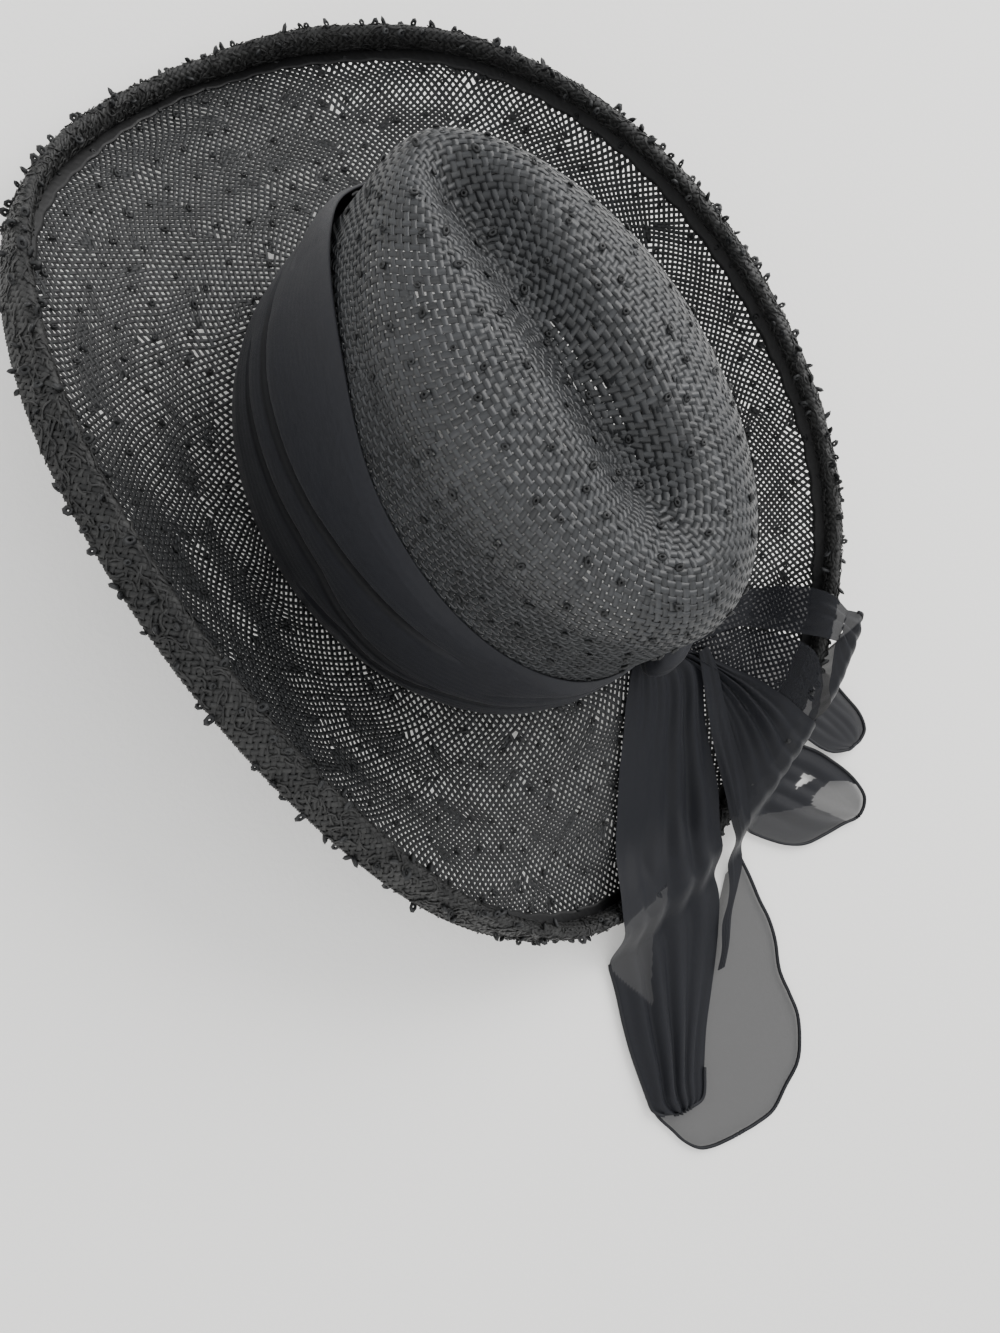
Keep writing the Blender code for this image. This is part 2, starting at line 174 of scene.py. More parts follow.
# %% Sizes in metres
HEAD_HALF = (0.0812, 0.0985)
TIP_HALF = (0.0502, 0.0867)
CROWN_HEIGHT = 0.1185
TIP_BACK_SHIFT = 0.0046
SHOULDER_RADIUS = 0.022
TIP_DOME = 0.004
FRONT_PINCH = 0.20
CREASE_DEPTH = 0.017
CREASE_HALF_WIDTH = 0.0125
BRIM_HALF = (0.1423, 0.2037)
BRIM_FORWARD_SHIFT = 0.0022
BRIM_DIP = 0.0300
BRIM_LIFT = 0.0862
BRIM_SWEEP = 1.28
STRAW_WALL = 0.0018
EDGE_WIDTH = 0.0058
EDGE_HEIGHT = 0.0112
EDGE_SQUASH = 0.0012
REST_SHARE = 0.02
REST_LINE = STRAW_WALL - EDGE_SQUASH
HEAD_LINE = REST_LINE + BRIM_DIP
BAND_TOP = (0.630, 0.545, 0.460, 0.370, 0.330, 0.400, 0.500, 0.560, 0.560, 0.500, 0.655, 0.715)
RIM_REACH = (0.978, 0.981, 1.005, 1.002, 0.976, 0.964, 0.993, 1.008,
             0.995, 0.988, 0.986, 0.972, 0.967, 0.970, 1.005, 1.000)
RIM_LIFT = (1.000, 0.905, 0.590, 0.186, 0.000, 0.205, 0.578, 0.828,
            0.900, 0.828, 0.577, 0.205, 0.000, 0.165, 0.552, 0.882)


def spline(before, here, after, beyond, step):
    """Smooth curve from here to after, whose slopes come from the values beside them."""
    start = (after - before) / 2
    end = (beyond - here) / 2
    bend = 2 * here - 2 * after + start + end
    turn_back = -3 * here + 3 * after - 2 * start - end
    return ((bend * step + turn_back) * step + start) * step + here


def through(values, place):
    """Smooth closed curve through evenly spaced values at an array of places, counted in steps."""
    values = np.asarray(values)
    row = np.floor(place).astype(int)
    near = [values[(row + offset) % len(values)] for offset in (-1, 0, 1, 2)]
    return spline(*near, place - row)


def round_table(values, angle):
    """A value from a table whose rows run evenly round the hat from the wearer's left."""
    return through(values, angle / math.tau * len(values))


def points(x, y, z):
    """Three arrays or numbers as one array of points."""
    return np.stack(np.broadcast_arrays(x, y, z), axis=-1)


# %% Brim and rim surfaces
def brim_surface(angle, share):
    """The brim's upper face: share is 0 at the head line and 1 at the rim."""
    reach = round_table(RIM_REACH, angle)
    x = HEAD_HALF[0] * np.cos(angle) * (1 - share) + BRIM_HALF[0] * np.cos(angle) * reach * share
    outer_y = BRIM_HALF[1] * np.sin(angle) * reach - BRIM_FORWARD_SHIFT
    y = HEAD_HALF[1] * np.sin(angle) * (1 - share) + outer_y * share
    edge_height = REST_LINE + BRIM_LIFT * np.maximum(0.0, round_table(RIM_LIFT, angle) - REST_SHARE)
    z = HEAD_LINE + (edge_height - HEAD_LINE) * np.maximum(share, 0.0) ** BRIM_SWEEP
    return points(x, y, z) + PLAN_MIDDLE


def unit(vectors):
    return vectors / np.maximum(np.linalg.norm(vectors, axis=-1, keepdims=True), 1e-12)


def rim_directions(angle):
    """Outward and upward directions of the turned edge, which leans in with the brim, never out."""
    small = 0.004
    around = brim_surface(angle + small, 1.0) - brim_surface(angle - small, 1.0)
    outward = brim_surface(angle, 1.0) - brim_surface(angle, 1.0 - small)
    upward = unit(np.cross(outward, around))
    upward *= np.sign(upward[..., 2:3])
    outward = unit(np.cross(unit(around), upward))
    flat = unit(outward * np.array([1.0, 1.0, 0.0]))
    lean = np.maximum(0.0, np.sum(upward * flat, axis=-1, keepdims=True))
    upward = unit(upward - flat * lean)
    side = unit(np.cross(upward, outward))
    return unit(np.cross(side, upward)), upward


# %% Crown surface
def crown_wall(angle, rise):
    """The crown's wall: rise is 0 at the head line and 1 where the tip starts."""
    height = CROWN_HEIGHT * rise
    into = np.clip((height - CROWN_HEIGHT + SHOULDER_RADIUS) / SHOULDER_RADIUS, 0.0, 1.0)
    drawn_in = SHOULDER_RADIUS * (1 - np.sqrt(1 - into * into))
    half_width = HEAD_HALF[0] + (TIP_HALF[0] - HEAD_HALF[0]) * rise - drawn_in
    half_length = HEAD_HALF[1] + (TIP_HALF[1] - HEAD_HALF[1]) * rise - drawn_in
    front = np.maximum(0.0, -np.sin(angle))
    x = half_width * np.cos(angle) * (1 - FRONT_PINCH * rise * front ** 2)
    y = TIP_BACK_SHIFT * rise + half_length * np.sin(angle)
    return points(x, y, HEAD_LINE + height)


def crease(place, share):
    """Depth of the long crease under the tip."""
    along = (place[..., 1] - TIP_BACK_SHIFT) / TIP_HALF[1]
    front_end = np.clip((along + 1.0) / 0.30, 0.0, 1.0)
    back_end = np.clip((0.78 - along) / 0.45, 0.0, 1.0)
    ends = np.sin(front_end * math.pi / 2) * np.sin(back_end * math.pi / 2) ** 2
    return CREASE_DEPTH * ends * np.exp(-(place[..., 0] / CREASE_HALF_WIDTH) ** 2) * share


def tip_share(x, y):
    """How far a point of the tip lies from its middle, as a share of the way to the tip's edge."""
    edge = crown_wall(np.array([0.0, math.pi / 2]), 1.0)
    half_width, half_length = edge[0, 0], edge[1, 1] - TIP_BACK_SHIFT
    along = (y - TIP_BACK_SHIFT) / half_length
    share = np.hypot(x / half_width, along)
    for _ in range(3):
        front = np.clip(-along / np.maximum(share, 0.05), 0.0, 1.0)
        share = np.hypot(x / (half_width * (1 - FRONT_PINCH * front ** 2)), along)
    return np.minimum(share, 1.0)


TIP_SPINE_SHARE = 0.50
WALL_SAMPLES = 400


def tip_breadth():
    """Mean width of the woven tip from its spine to its edge."""
    angle = np.linspace(0, math.tau, 360, endpoint=False)
    edge = crown_wall(angle, 1.0)
    spine_y = TIP_BACK_SHIFT + (edge[:, 1] - TIP_BACK_SHIFT) * TIP_SPINE_SHARE
    return float(np.mean(np.hypot(edge[:, 0], edge[:, 1] - spine_y)))


wall_rises = np.linspace(1.0, 0.0, WALL_SAMPLES)
wall_line = crown_wall(np.full(WALL_SAMPLES, 0.6), wall_rises)
wall_steps = np.linalg.norm(np.diff(wall_line, axis=0), axis=1)
wall_lengths = np.concatenate([[0.0], np.cumsum(wall_steps)])
TIP_BREADTH = tip_breadth()
CROWN_LINE = TIP_BREADTH + wall_lengths[-1]


def crown_surface(angle, share):
    """The whole crown: share is 0 on the tip's spine and 1 at the head line."""
    angle, share = np.broadcast_arrays(angle, share)
    run = share * CROWN_LINE
    rise = np.interp(run - TIP_BREADTH, wall_lengths, wall_rises)
    wall = crown_wall(angle, rise)
    wall_crease = np.maximum(0.0, (rise - 0.8) / 0.2) ** 1.5
    edge = crown_wall(angle, 1.0)
    out = np.clip(run / TIP_BREADTH, 0.0, 1.0)
    spine_y = TIP_BACK_SHIFT + (edge[..., 1] - TIP_BACK_SHIFT) * TIP_SPINE_SHARE
    x = edge[..., 0] * out
    y = spine_y + (edge[..., 1] - spine_y) * out
    tip = points(x, y, HEAD_LINE + CROWN_HEIGHT + TIP_DOME * (1 - tip_share(x, y) ** 2))
    on_tip = (run < TIP_BREADTH)[..., None]
    place = np.where(on_tip, tip, wall)
    sink = np.where(on_tip[..., 0], crease(tip, 1.0), crease(wall, wall_crease))
    place[..., 2] -= sink
    return place + PLAN_MIDDLE


def surface_normal(surface, angle, share, towards):
    """Unit normals of a surface, turned to the side of a rough direction."""
    small = 0.003
    around = surface(angle + small, share) - surface(angle - small, share)
    farther = surface(angle, np.minimum(share + small, 1.0))
    nearer = surface(angle, np.maximum(share - small, 0.0))
    normal = unit(np.cross(around, farther - nearer))
    side = np.sign(np.sum(normal * towards, axis=-1, keepdims=True))
    return normal * np.where(side == 0, 1.0, side)


print("crown line", round(CROWN_LINE * 1000, 1), "mm from the spine of the tip to the head line")

# %% [markdown]
# ## Straw finishes
# The straw is dyed nearly black and keeps the thin fibres and the gloss of a flattened stem.
# A node group turns the strand's own map, across and along, into a colour, a roughness and
# a height, so that every strand in the hat shares one look with its own values.

# %% Small helpers for node groups
def new_group(name, inputs, outputs):
    """A shader node group with named sockets; inputs hold name, kind and first value."""
    group = bpy.data.node_groups.new(name, 'ShaderNodeTree')
    for socket_name, kind, value in inputs:
        socket = group.interface.new_socket(socket_name, in_out='INPUT', socket_type="NodeSocket" + kind)
        socket.default_value = value
    for socket_name, kind in outputs:
        group.interface.new_socket(socket_name, in_out='OUTPUT', socket_type="NodeSocket" + kind)
    start = group.nodes.new("NodeGroupInput")
    end = group.nodes.new("NodeGroupOutput")
    return group, start, end


def maths(tree, operation, first, second):
    """A Math node whose two inputs are sockets or numbers."""
    node = tree.nodes.new("ShaderNodeMath")
    node.operation = operation
    for socket, value in zip(node.inputs, (first, second)):
        if isinstance(value, (int, float)):
            socket.default_value = value
        else:
            tree.links.new(value, socket)
    return node.outputs[0]


def mix_colour(tree, factor, first, second):
    """A colour Mix node whose inputs are sockets or values."""
    node = tree.nodes.new("ShaderNodeMix")
    node.data_type = 'RGBA'
    for socket, value in ((node.inputs[0], factor), (node.inputs[6], first), (node.inputs[7], second)):
        if hasattr(value, "links"):
            tree.links.new(value, socket)
        else:
            socket.default_value = value
    return node.outputs[2]


# %% The straw fibre group
def make_straw_group():
    """Colour, roughness and height of one straw strand from its own map."""
    group, start, end = new_group(
        "straw_fibre",
        [("Dark", "Color", (0.02, 0.02, 0.02, 1)), ("Light", "Color", (0.06, 0.06, 0.06, 1)),
         ("Least Roughness", "Float", 0.4), ("Fibres", "Float", 26.0)],
        [("Color", "Color"), ("Roughness", "Float"), ("Height", "Float")])
    links = group.links
    strand = add_node(group, "UVMap", uv_map="strand")
    tone = add_node(group, "Attribute", attribute_name="tone")
    stretch = add_node(group, "Mapping", {"Scale": (1.0, 0.22, 1.0)})
    links.new(strand.outputs["UV"], stretch.inputs["Vector"])
    fibres = add_node(group, "TexNoise", {"Detail": 3.0, "Roughness": 0.6})
    links.new(stretch.outputs["Vector"], fibres.inputs["Vector"])
    links.new(start.outputs["Fibres"], fibres.inputs["Scale"])
    patches = add_node(group, "TexNoise", {"Scale": 1.6, "Detail": 2.0})
    links.new(strand.outputs["UV"], patches.inputs["Vector"])
    level = maths(group, 'ADD', maths(group, 'MULTIPLY', fibres.outputs["Fac"], 0.55),
                  maths(group, 'MULTIPLY', patches.outputs["Fac"], 0.45))
    level = maths(group, 'ADD', level, maths(group, 'SUBTRACT', tone.outputs["Fac"], 0.5))
    spread = add_node(group, "MapRange", {"From Min": 0.25, "From Max": 0.85})
    links.new(level, spread.inputs["Value"])
    shade = mix_colour(group, spread.outputs["Result"], start.outputs["Dark"], start.outputs["Light"])
    links.new(shade, end.inputs["Color"])
    rough_fibres = maths(group, 'MULTIPLY', fibres.outputs["Fac"], 0.30)
    roughness = maths(group, 'ADD', start.outputs["Least Roughness"], rough_fibres)
    links.new(roughness, end.inputs["Roughness"])
    links.new(fibres.outputs["Fac"], end.inputs["Height"])
    return group


straw_group = make_straw_group()


def straw_material(name, dark, light, least_roughness, fibres, specular):
    """A straw finish: the group feeds the shader, and a bump raises the fibres."""
    material = bpy.data.materials.new(name)
    material.use_nodes = True
    tree = material.node_tree
    shader = tree.nodes["Principled BSDF"]
    fibre = tree.nodes.new("ShaderNodeGroup")
    fibre.node_tree = straw_group
    fibre.inputs["Dark"].default_value = (*dark, 1)
    fibre.inputs["Light"].default_value = (*light, 1)
    fibre.inputs["Least Roughness"].default_value = least_roughness
    fibre.inputs["Fibres"].default_value = fibres
    bump = add_node(tree, "Bump", {"Strength": 0.5, "Distance": 0.00012})
    tree.links.new(fibre.outputs["Color"], shader.inputs["Base Color"])
    tree.links.new(fibre.outputs["Roughness"], shader.inputs["Roughness"])
    tree.links.new(fibre.outputs["Height"], bump.inputs["Height"])
    tree.links.new(bump.outputs["Normal"], shader.inputs["Normal"])
    shader.inputs["Specular IOR Level"].default_value = specular
    return material


# The crown's straw is the brim's straw painted lighter: painted sheen of the overhead light on the crown.
CROWN_STRAW_PAINTED_SHEEN = straw_material("crown_straw_painted_sheen", (0.007, 0.0075, 0.0082), (0.040, 0.042, 0.045),
                             least_roughness=0.30, fibres=26.0, specular=0.5)
BRIM_STRAW = straw_material("brim_straw", (0.004, 0.0043, 0.0047), (0.020, 0.021, 0.0225),
                            least_roughness=0.38, fibres=26.0, specular=0.42)
EDGE_STRAW = straw_material("edge_straw", (0.004, 0.004, 0.0043), (0.032, 0.032, 0.031),
                            least_roughness=0.44, fibres=26.0, specular=0.4)
print("straw finishes ready")

# %% [markdown]
# ## Weaving
# Woven straw is two families of strands that pass over and under each other. Where the hat
# widens, the weaver adds strands in pairs, so the holes keep their size from the head to the
# rim. Here each strand has a weight that grows from nothing where its pair is added, and its
# place round a ring is its share of the weights: the strands around it move over to make
# room, as they do by hand. A strand is a flat ribbon with a point at each crossing.

# %% Ribbons as one joined mesh
def joined_mesh(name, verts, quads, uvs, tones, material):
    """An object from arrays of points, quads, map corners and a tone for each point."""
    mesh = bpy.data.meshes.new(name)
    mesh.vertices.add(len(verts))
    mesh.vertices.foreach_set("co", np.ascontiguousarray(verts, dtype=np.float32).ravel())
    mesh.loops.add(quads.size)
    mesh.loops.foreach_set("vertex_index", quads.astype(np.int32).ravel())
    mesh.polygons.add(len(quads))
    mesh.polygons.foreach_set("loop_start", np.arange(0, quads.size, 4, dtype=np.int32))
    layer = mesh.uv_layers.new(name="strand")
    layer.data.foreach_set("uv", np.ascontiguousarray(uvs, dtype=np.float32).ravel())
    shade = mesh.attributes.new("tone", 'FLOAT', 'POINT')
    shade.data.foreach_set("value", np.ascontiguousarray(tones, dtype=np.float32))
    mesh.update(calc_edges=True)
    mesh.shade_smooth()
    mesh.materials.append(material)
    thing = bpy.data.objects.new(name, mesh)
    scene.collection.objects.link(thing)
    print(name, len(quads) * 2, "triangles")
    return thing


SECTION_ACROSS = np.array([-0.5, 0.5, 0.5, -0.5])
SECTION_DEEP = np.array([0.5, 0.5, -0.5, -0.5])
SECTION_MAP = np.array([0.0, 0.42, 0.5, 0.92, 1.0])
MAP_METRES = 0.010
TONE_SPREAD = 0.16


def ribbons(name, strands, material, thickness, seed):
    """Flat ribbons through strands; a strand has places, normals, widths and whether it is closed."""
    random = np.random.default_rng(seed)
    all_verts, all_quads, all_uvs, all_tones = [], [], [], []
    first = 0
    for places, normals, widths, closed in strands:
        count = len(places)
        if closed:
            tangent = np.roll(places, -1, axis=0) - np.roll(places, 1, axis=0)
        else:
            tangent = np.gradient(places, axis=0)
        across = unit(np.cross(normals, tangent))
        verts = (places[:, None, :]
                 + across[:, None, :] * (SECTION_ACROSS[None, :, None] * widths[:, None, None])
                 + normals[:, None, :] * (SECTION_DEEP[None, :, None] * thickness))
        run = np.concatenate([[0.0], np.cumsum(np.linalg.norm(np.diff(places, axis=0), axis=1))])
        start = random.uniform(0, 50)
        along = run / MAP_METRES + start
        steps = count if closed else count - 1
        here = np.arange(steps)
        ahead = (here + 1) % count
        along_ahead = np.where(ahead > here, along[ahead], along[here] + (along[1] - along[0]))
        for side in range(4):
            beside = (side + 1) % 4
            corners = [here * 4 + side, here * 4 + beside, ahead * 4 + beside, ahead * 4 + side]
            map_low, map_high = SECTION_MAP[side], SECTION_MAP[side + 1]
            uv = np.empty((steps, 4, 2))
            uv[:, :, 0] = [map_low, map_high, map_high, map_low]
            uv[:, :, 1] = np.stack([along[here], along[here], along_ahead, along_ahead], axis=1)
            all_quads.append(np.stack(corners, axis=1)[:, ::-1] + first)
            all_uvs.append(uv[:, ::-1])
        if not closed:
            last = (count - 1) * 4
            all_quads.append(np.array([[0, 1, 2, 3], [last + 3, last + 2, last + 1, last]]) + first)
            all_uvs.append(np.tile([[0.5, start]], (2, 4, 1)))
        all_verts.append(verts.reshape(-1, 3))
        all_tones.append(np.full(count * 4, 0.5 + random.uniform(-TONE_SPREAD, TONE_SPREAD)))
        first += count * 4
    return joined_mesh(name, np.concatenate(all_verts), np.concatenate(all_quads),
                       np.concatenate(all_uvs), np.concatenate(all_tones), material)


# %% Where the strands of a family lie on a ring
ROUND_SAMPLES = 720
RINGS = 150
GOLDEN = 0.6180339887


class Rings:
    """Angles at even arc lengths round each ring of a surface, and the rings' lengths."""

    def __init__(self, surface):
        angle = np.linspace(0, math.tau, ROUND_SAMPLES + 1)
        self.shares = np.linspace(0, 1, RINGS)
        self.lengths = np.empty(RINGS)
        self.angles = np.empty((RINGS, ROUND_SAMPLES + 1))
        for row, share in enumerate(self.shares):
            places = surface(angle, np.full_like(angle, share))
            steps = np.concatenate([[0.0], np.cumsum(np.linalg.norm(np.diff(places, axis=0), axis=1))])
            self.lengths[row] = steps[-1]
            self.angles[row] = np.interp(np.linspace(0, 1, ROUND_SAMPLES + 1), steps / steps[-1], angle)

    def angle_at(self, turn_share, share):
        """Angle for a share of the way round, which may be past a whole turn, on the ring at a share."""
        whole = np.floor(turn_share)
        column = (turn_share - whole) * ROUND_SAMPLES
        row = np.clip(share, 0, 1) * (RINGS - 1)
        column_low = np.minimum(column.astype(int), ROUND_SAMPLES - 1)
        row_low = np.minimum(row.astype(int), RINGS - 2)
        across, down = column - column_low, row - row_low
        table = self.angles
        low = table[row_low, column_low] * (1 - across) + table[row_low, column_low + 1] * across
        high = table[row_low + 1, column_low] * (1 - across) + table[row_low + 1, column_low + 1] * across
        return low * (1 - down) + high * down + whole * math.tau


class Family:
    """Places of one family of strands: centres[strand, ring], and where each strand starts."""

    def __init__(self, counts, shares, room, first_turn, turning=(0.0, 1.0), arcs=(0.0, 1.0)):
        pairs = int(round((counts.max() - counts.min()) / 2))
        begin = int(round(counts.min() / 2))
        births = np.interp(counts.min() + 2 * np.arange(pairs) + 1, counts, shares)
        added = np.interp((np.arange(pairs) * GOLDEN + first_turn) % 1.0, turning, arcs)
        where = np.concatenate([(np.arange(begin) + 0.5) / begin, added])
        starts = np.concatenate([np.full(begin, -9.0), births])
        order = np.argsort(where, kind="stable")
        starts = np.repeat(starts[order], 2)
        ramp = np.clip((shares[None, :] - starts[:, None]) / room + 0.5, 0, 1)
        weights = np.where(starts[:, None] < -1, 1.0, ramp * ramp * (3 - 2 * ramp))
        totals = np.cumsum(weights, axis=0)
        self.centres = (totals - weights / 2) / totals[-1]
        self.starts = np.where(starts < -1, -1.0, starts - room * 0.12)
        self.count = len(starts)


print("weaving tools ready")

# %% [markdown]
# ## The brim
# The brim's straw runs in two slanting families, so it stretches and can be pressed into its
# wave. The strands are narrower than their spacing and leave open squares, which the pale
# table shines through. The brim could be one solid with a see-through pattern, but the real
# light passes between strands, so the strands are made.

# %% What lies under a point in plan
def brim_under(x, y):
    """Angle and share of the brim below a point in plan; the share passes 1 beyond the rim."""
    x, y = np.broadcast_arrays(np.asarray(x, dtype=float), np.asarray(y, dtype=float))
    angle = np.arctan2(y / HEAD_HALF[1], x / HEAD_HALF[0])
    share = np.full(x.shape, 0.5)
    for _ in range(14):
        inner = brim_surface(angle, 0.0) - PLAN_MIDDLE
        outer = brim_surface(angle, 1.0) - PLAN_MIDDLE
        width = inner[..., 0] + (outer[..., 0] - inner[..., 0]) * share
        length = inner[..., 1] + (outer[..., 1] - inner[..., 1]) * share
        breadth = np.linalg.norm(outer - inner, axis=-1)
        share = np.maximum(0.0, share + (np.hypot(x, y) - np.hypot(width, length)) / breadth)
        half_width = HEAD_HALF[0] + (BRIM_HALF[0] - HEAD_HALF[0]) * share
        half_length = HEAD_HALF[1] + (BRIM_HALF[1] - HEAD_HALF[1]) * share
        angle = np.arctan2((y + BRIM_FORWARD_SHIFT * share) / half_length, x / half_width)
    return angle, share


# %% The brim measured by its distance from the head line
LATTICE_REACH = 0.118
LATTICE_STEPS = 90
lattice_angles = np.linspace(0, math.tau, ROUND_SAMPLES + 1)
head_x = HEAD_HALF[0] * np.cos(lattice_angles)
head_y = HEAD_HALF[1] * np.sin(lattice_angles)
head_out = unit(points(head_x / HEAD_HALF[0] ** 2, head_y / HEAD_HALF[1] ** 2, 0.0))
even_runs = np.linspace(0, LATTICE_REACH, LATTICE_STEPS)
plan_x = head_x[:, None] + head_out[:, None, 0] * even_runs
plan_y = head_y[:, None] + head_out[:, None, 1] * even_runs
under_angle, under_share = brim_under(plan_x, plan_y)
under_share[:, 0] = 0.0
under_place = brim_surface(under_angle, under_share)
under_place[:, 0] = brim_surface(lattice_angles, 0.0)
under_steps = np.linalg.norm(np.diff(under_place, axis=1), axis=2)
under_runs = np.concatenate([np.zeros((ROUND_SAMPLES + 1, 1)), np.cumsum(under_steps, axis=1)], axis=1)
lattice = np.stack([
    np.stack([np.interp(even_runs, under_runs[row], table[row]) for row in range(ROUND_SAMPLES + 1)])
    for table in (under_place[..., 0], under_place[..., 1], under_place[..., 2], under_share)], axis=-1)


def lattice_at(angle, share):
    """Place on the brim and rim share at an angle and a share of the lattice's reach."""
    column = (np.asarray(angle) % math.tau) / math.tau * ROUND_SAMPLES
    row = np.clip(share, 0, 1) * (LATTICE_STEPS - 1)
    column, row = np.broadcast_arrays(column, row)
    column_low = np.minimum(column.astype(int), ROUND_SAMPLES - 1)
    row_low = np.minimum(row.astype(int), LATTICE_STEPS - 2)
    across, out = (column - column_low)[..., None], (row - row_low)[..., None]
    near = lattice[column_low, row_low] * (1 - across) + lattice[column_low + 1, row_low] * across
    far = lattice[column_low, row_low + 1] * (1 - across) + lattice[column_low + 1, row_low + 1] * across
    return near * (1 - out) + far * out


def lattice_surface(angle, share):
    return lattice_at(angle, share)[..., :3]


for where, row in (("left", 0), ("back", ROUND_SAMPLES // 4)):
    brim_reach = float(np.interp(1.0, lattice[row, :, 3], even_runs))
    print("brim reaches", round(brim_reach * 1000, 1), "mm at the", where)

# %% Slanting strands
BRIM_PITCH = 0.0021
BRIM_STRAND_WIDTH = 0.00122
BRIM_STRAND_THICK = 0.00034
BRIM_RIPPLE = 0.00019
BRIM_SLANT = math.radians(45)
BRIM_STOP = 0.972
BRIM_ROOM = 0.13
STRAND_SPREAD = 0.16
WIDTH_SPREAD = 0.12


def slanting_weave(surface, rings, families, slant_turn, inside, towards, width, ripple, seed):
    """Two lists of strands, of the families that slant one way and the other."""
    random = np.random.default_rng(seed)
    shares = rings.shares
    made = []
    for way, (own, other) in ((1, families), (-1, families[::-1])):
        strands = []
        indices = np.arange(other.count)
        crossing = np.empty((own.count, len(shares)))
        for row in range(len(shares)):
            target = own.centres[:, row] + way * 2 * slant_turn[row]
            whole = np.floor(target)
            line = other.centres[:, row]
            places = np.concatenate([line - 1, line, line + 1])
            numbers = np.concatenate([indices - other.count, indices, indices + other.count])
            crossing[:, row] = np.interp(target - whole, places, numbers) + whole * other.count
        for strand in range(own.count):
            begin = max(0.0, own.starts[strand])
            path = crossing[strand] * way
            low, high = np.interp([begin, 1.0], shares, path)
            if high - low < 2:
                continue
            numbers = np.arange(math.ceil(low), math.floor(high) + 1)
            at = np.interp(numbers, np.maximum.accumulate(path), shares)
            met = (numbers * way) % other.count
            keep = (at >= other.starts[met]) & (np.diff(at, prepend=-1) > 1e-4)
            at, met = at[keep], met[keep]
            if len(at) < 3:
                continue
            centre = np.interp(at, shares, own.centres[strand])
            turn_share = centre + way * np.interp(at, shares, slant_turn)
            angle = rings.angle_at(turn_share, at)
            kept = inside(angle, at)
            if kept.sum() < 3:
                continue
            at, met, angle = at[kept], met[kept], angle[kept]
            normals = surface_normal(surface, angle, at, towards(angle, at))
            over = np.where((strand + met) % 2 == 0, 1.0, -1.0) * way
            places = surface(angle, at) + normals * (over * ripple)[:, None]
            strand_width = 1 + random.uniform(-STRAND_SPREAD, STRAND_SPREAD)
            widths = width * (strand_width + random.uniform(-WIDTH_SPREAD, WIDTH_SPREAD, len(at)))
            strands.append((places, normals, widths, False))
        made.append(strands)
    return made


UP = np.array([0.0, 0.0, 1.0])
brim_rings = Rings(lattice_surface)
brim_counts = brim_rings.lengths * math.cos(BRIM_SLANT) / BRIM_PITCH
brim_slope = math.tan(BRIM_SLANT) * LATTICE_REACH / brim_rings.lengths
brim_turn = np.concatenate(
    [[0.0], np.cumsum((brim_slope[1:] + brim_slope[:-1]) / 2 * np.diff(brim_rings.shares))])
head_turning = np.unwrap(np.arctan2(head_out[:, 1], head_out[:, 0])) / math.tau
head_arcs = np.interp(lattice_angles, brim_rings.angles[0], np.linspace(0, 1, ROUND_SAMPLES + 1))
brim_families = [Family(brim_counts, brim_rings.shares, BRIM_ROOM, first, head_turning, head_arcs)
                 for first in (0.11, 0.53)]
brim_strands = slanting_weave(
    lattice_surface, brim_rings, brim_families, brim_turn,
    lambda angle, share: lattice_at(angle, share)[..., 3] < BRIM_STOP,
    lambda angle, share: UP, BRIM_STRAND_WIDTH, BRIM_RIPPLE, seed=3)
brim_one = ribbons("brim_strands_one_way", brim_strands[0], BRIM_STRAW, BRIM_STRAND_THICK, seed=11)
brim_other = ribbons("brim_strands_other_way", brim_strands[1], BRIM_STRAW, BRIM_STRAND_THICK, seed=12)
for piece in (brim_one, brim_other):
    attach(piece, "root")
    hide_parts("brim")

# %% [markdown]
# ## The crown
# The crown is the same straw woven closer: strands fan out from a spine along the tip and run
# down the wall, and others circle it. The strands are wide here, so only pinholes are left.

# %% Fanning strands and rings
CROWN_PITCH = 0.00240
CROWN_STRAND_WIDTH = 0.00154
CROWN_STRAND_THICK = 0.00036
CROWN_RIPPLE = 0.00025
SPINE_SHARE = 0.0008
RING_WANDER = 0.00022
crown_rings = Rings(crown_surface)
crown_counts = np.maximum.accumulate(crown_rings.lengths / CROWN_PITCH)
fan = Family(crown_counts, crown_rings.shares, 0.10, 0.29)
ring_count = int(CROWN_LINE / CROWN_PITCH)
ring_shares = (np.arange(ring_count) + 0.5) / ring_count
CROWN_MIDDLE = PLAN_MIDDLE + np.array([0.0, TIP_BACK_SHIFT, HEAD_LINE + CROWN_HEIGHT * 0.3])


def ring_stretch(angle, share):
    """How much farther apart the rings lie than their mean spacing, as on the slopes of the crease."""
    small = 0.5 / ring_count
    farther = crown_surface(angle, np.minimum(share + small, 1.0))
    nearer = crown_surface(angle, np.maximum(share - small, 0.0))
    apart = np.linalg.norm(farther - nearer, axis=-1)
    return np.clip(apart / (2 * small * CROWN_LINE), 0.92, 2.2)


def crown_places(angle, share, height):
    """Places and normals on the crown at a height off its surface."""
    flat = crown_surface(angle, share)
    normals = surface_normal(crown_surface, angle, share, flat - CROWN_MIDDLE)
    return flat + normals * height[:, None], normals


def tip_closeness(share):
    """The straw lies closer on the tip than on the wall."""
    return 1 + 0.32 * np.clip((0.38 - share) / 0.16, 0.0, 1.0)


def crown_widths(random, count):
    """Widths along one strand of the crown, which as a whole is wider or narrower than the next."""
    return CROWN_STRAND_WIDTH * (1 + random.uniform(-0.12, 0.10) + random.uniform(-0.08, 0.08, count))


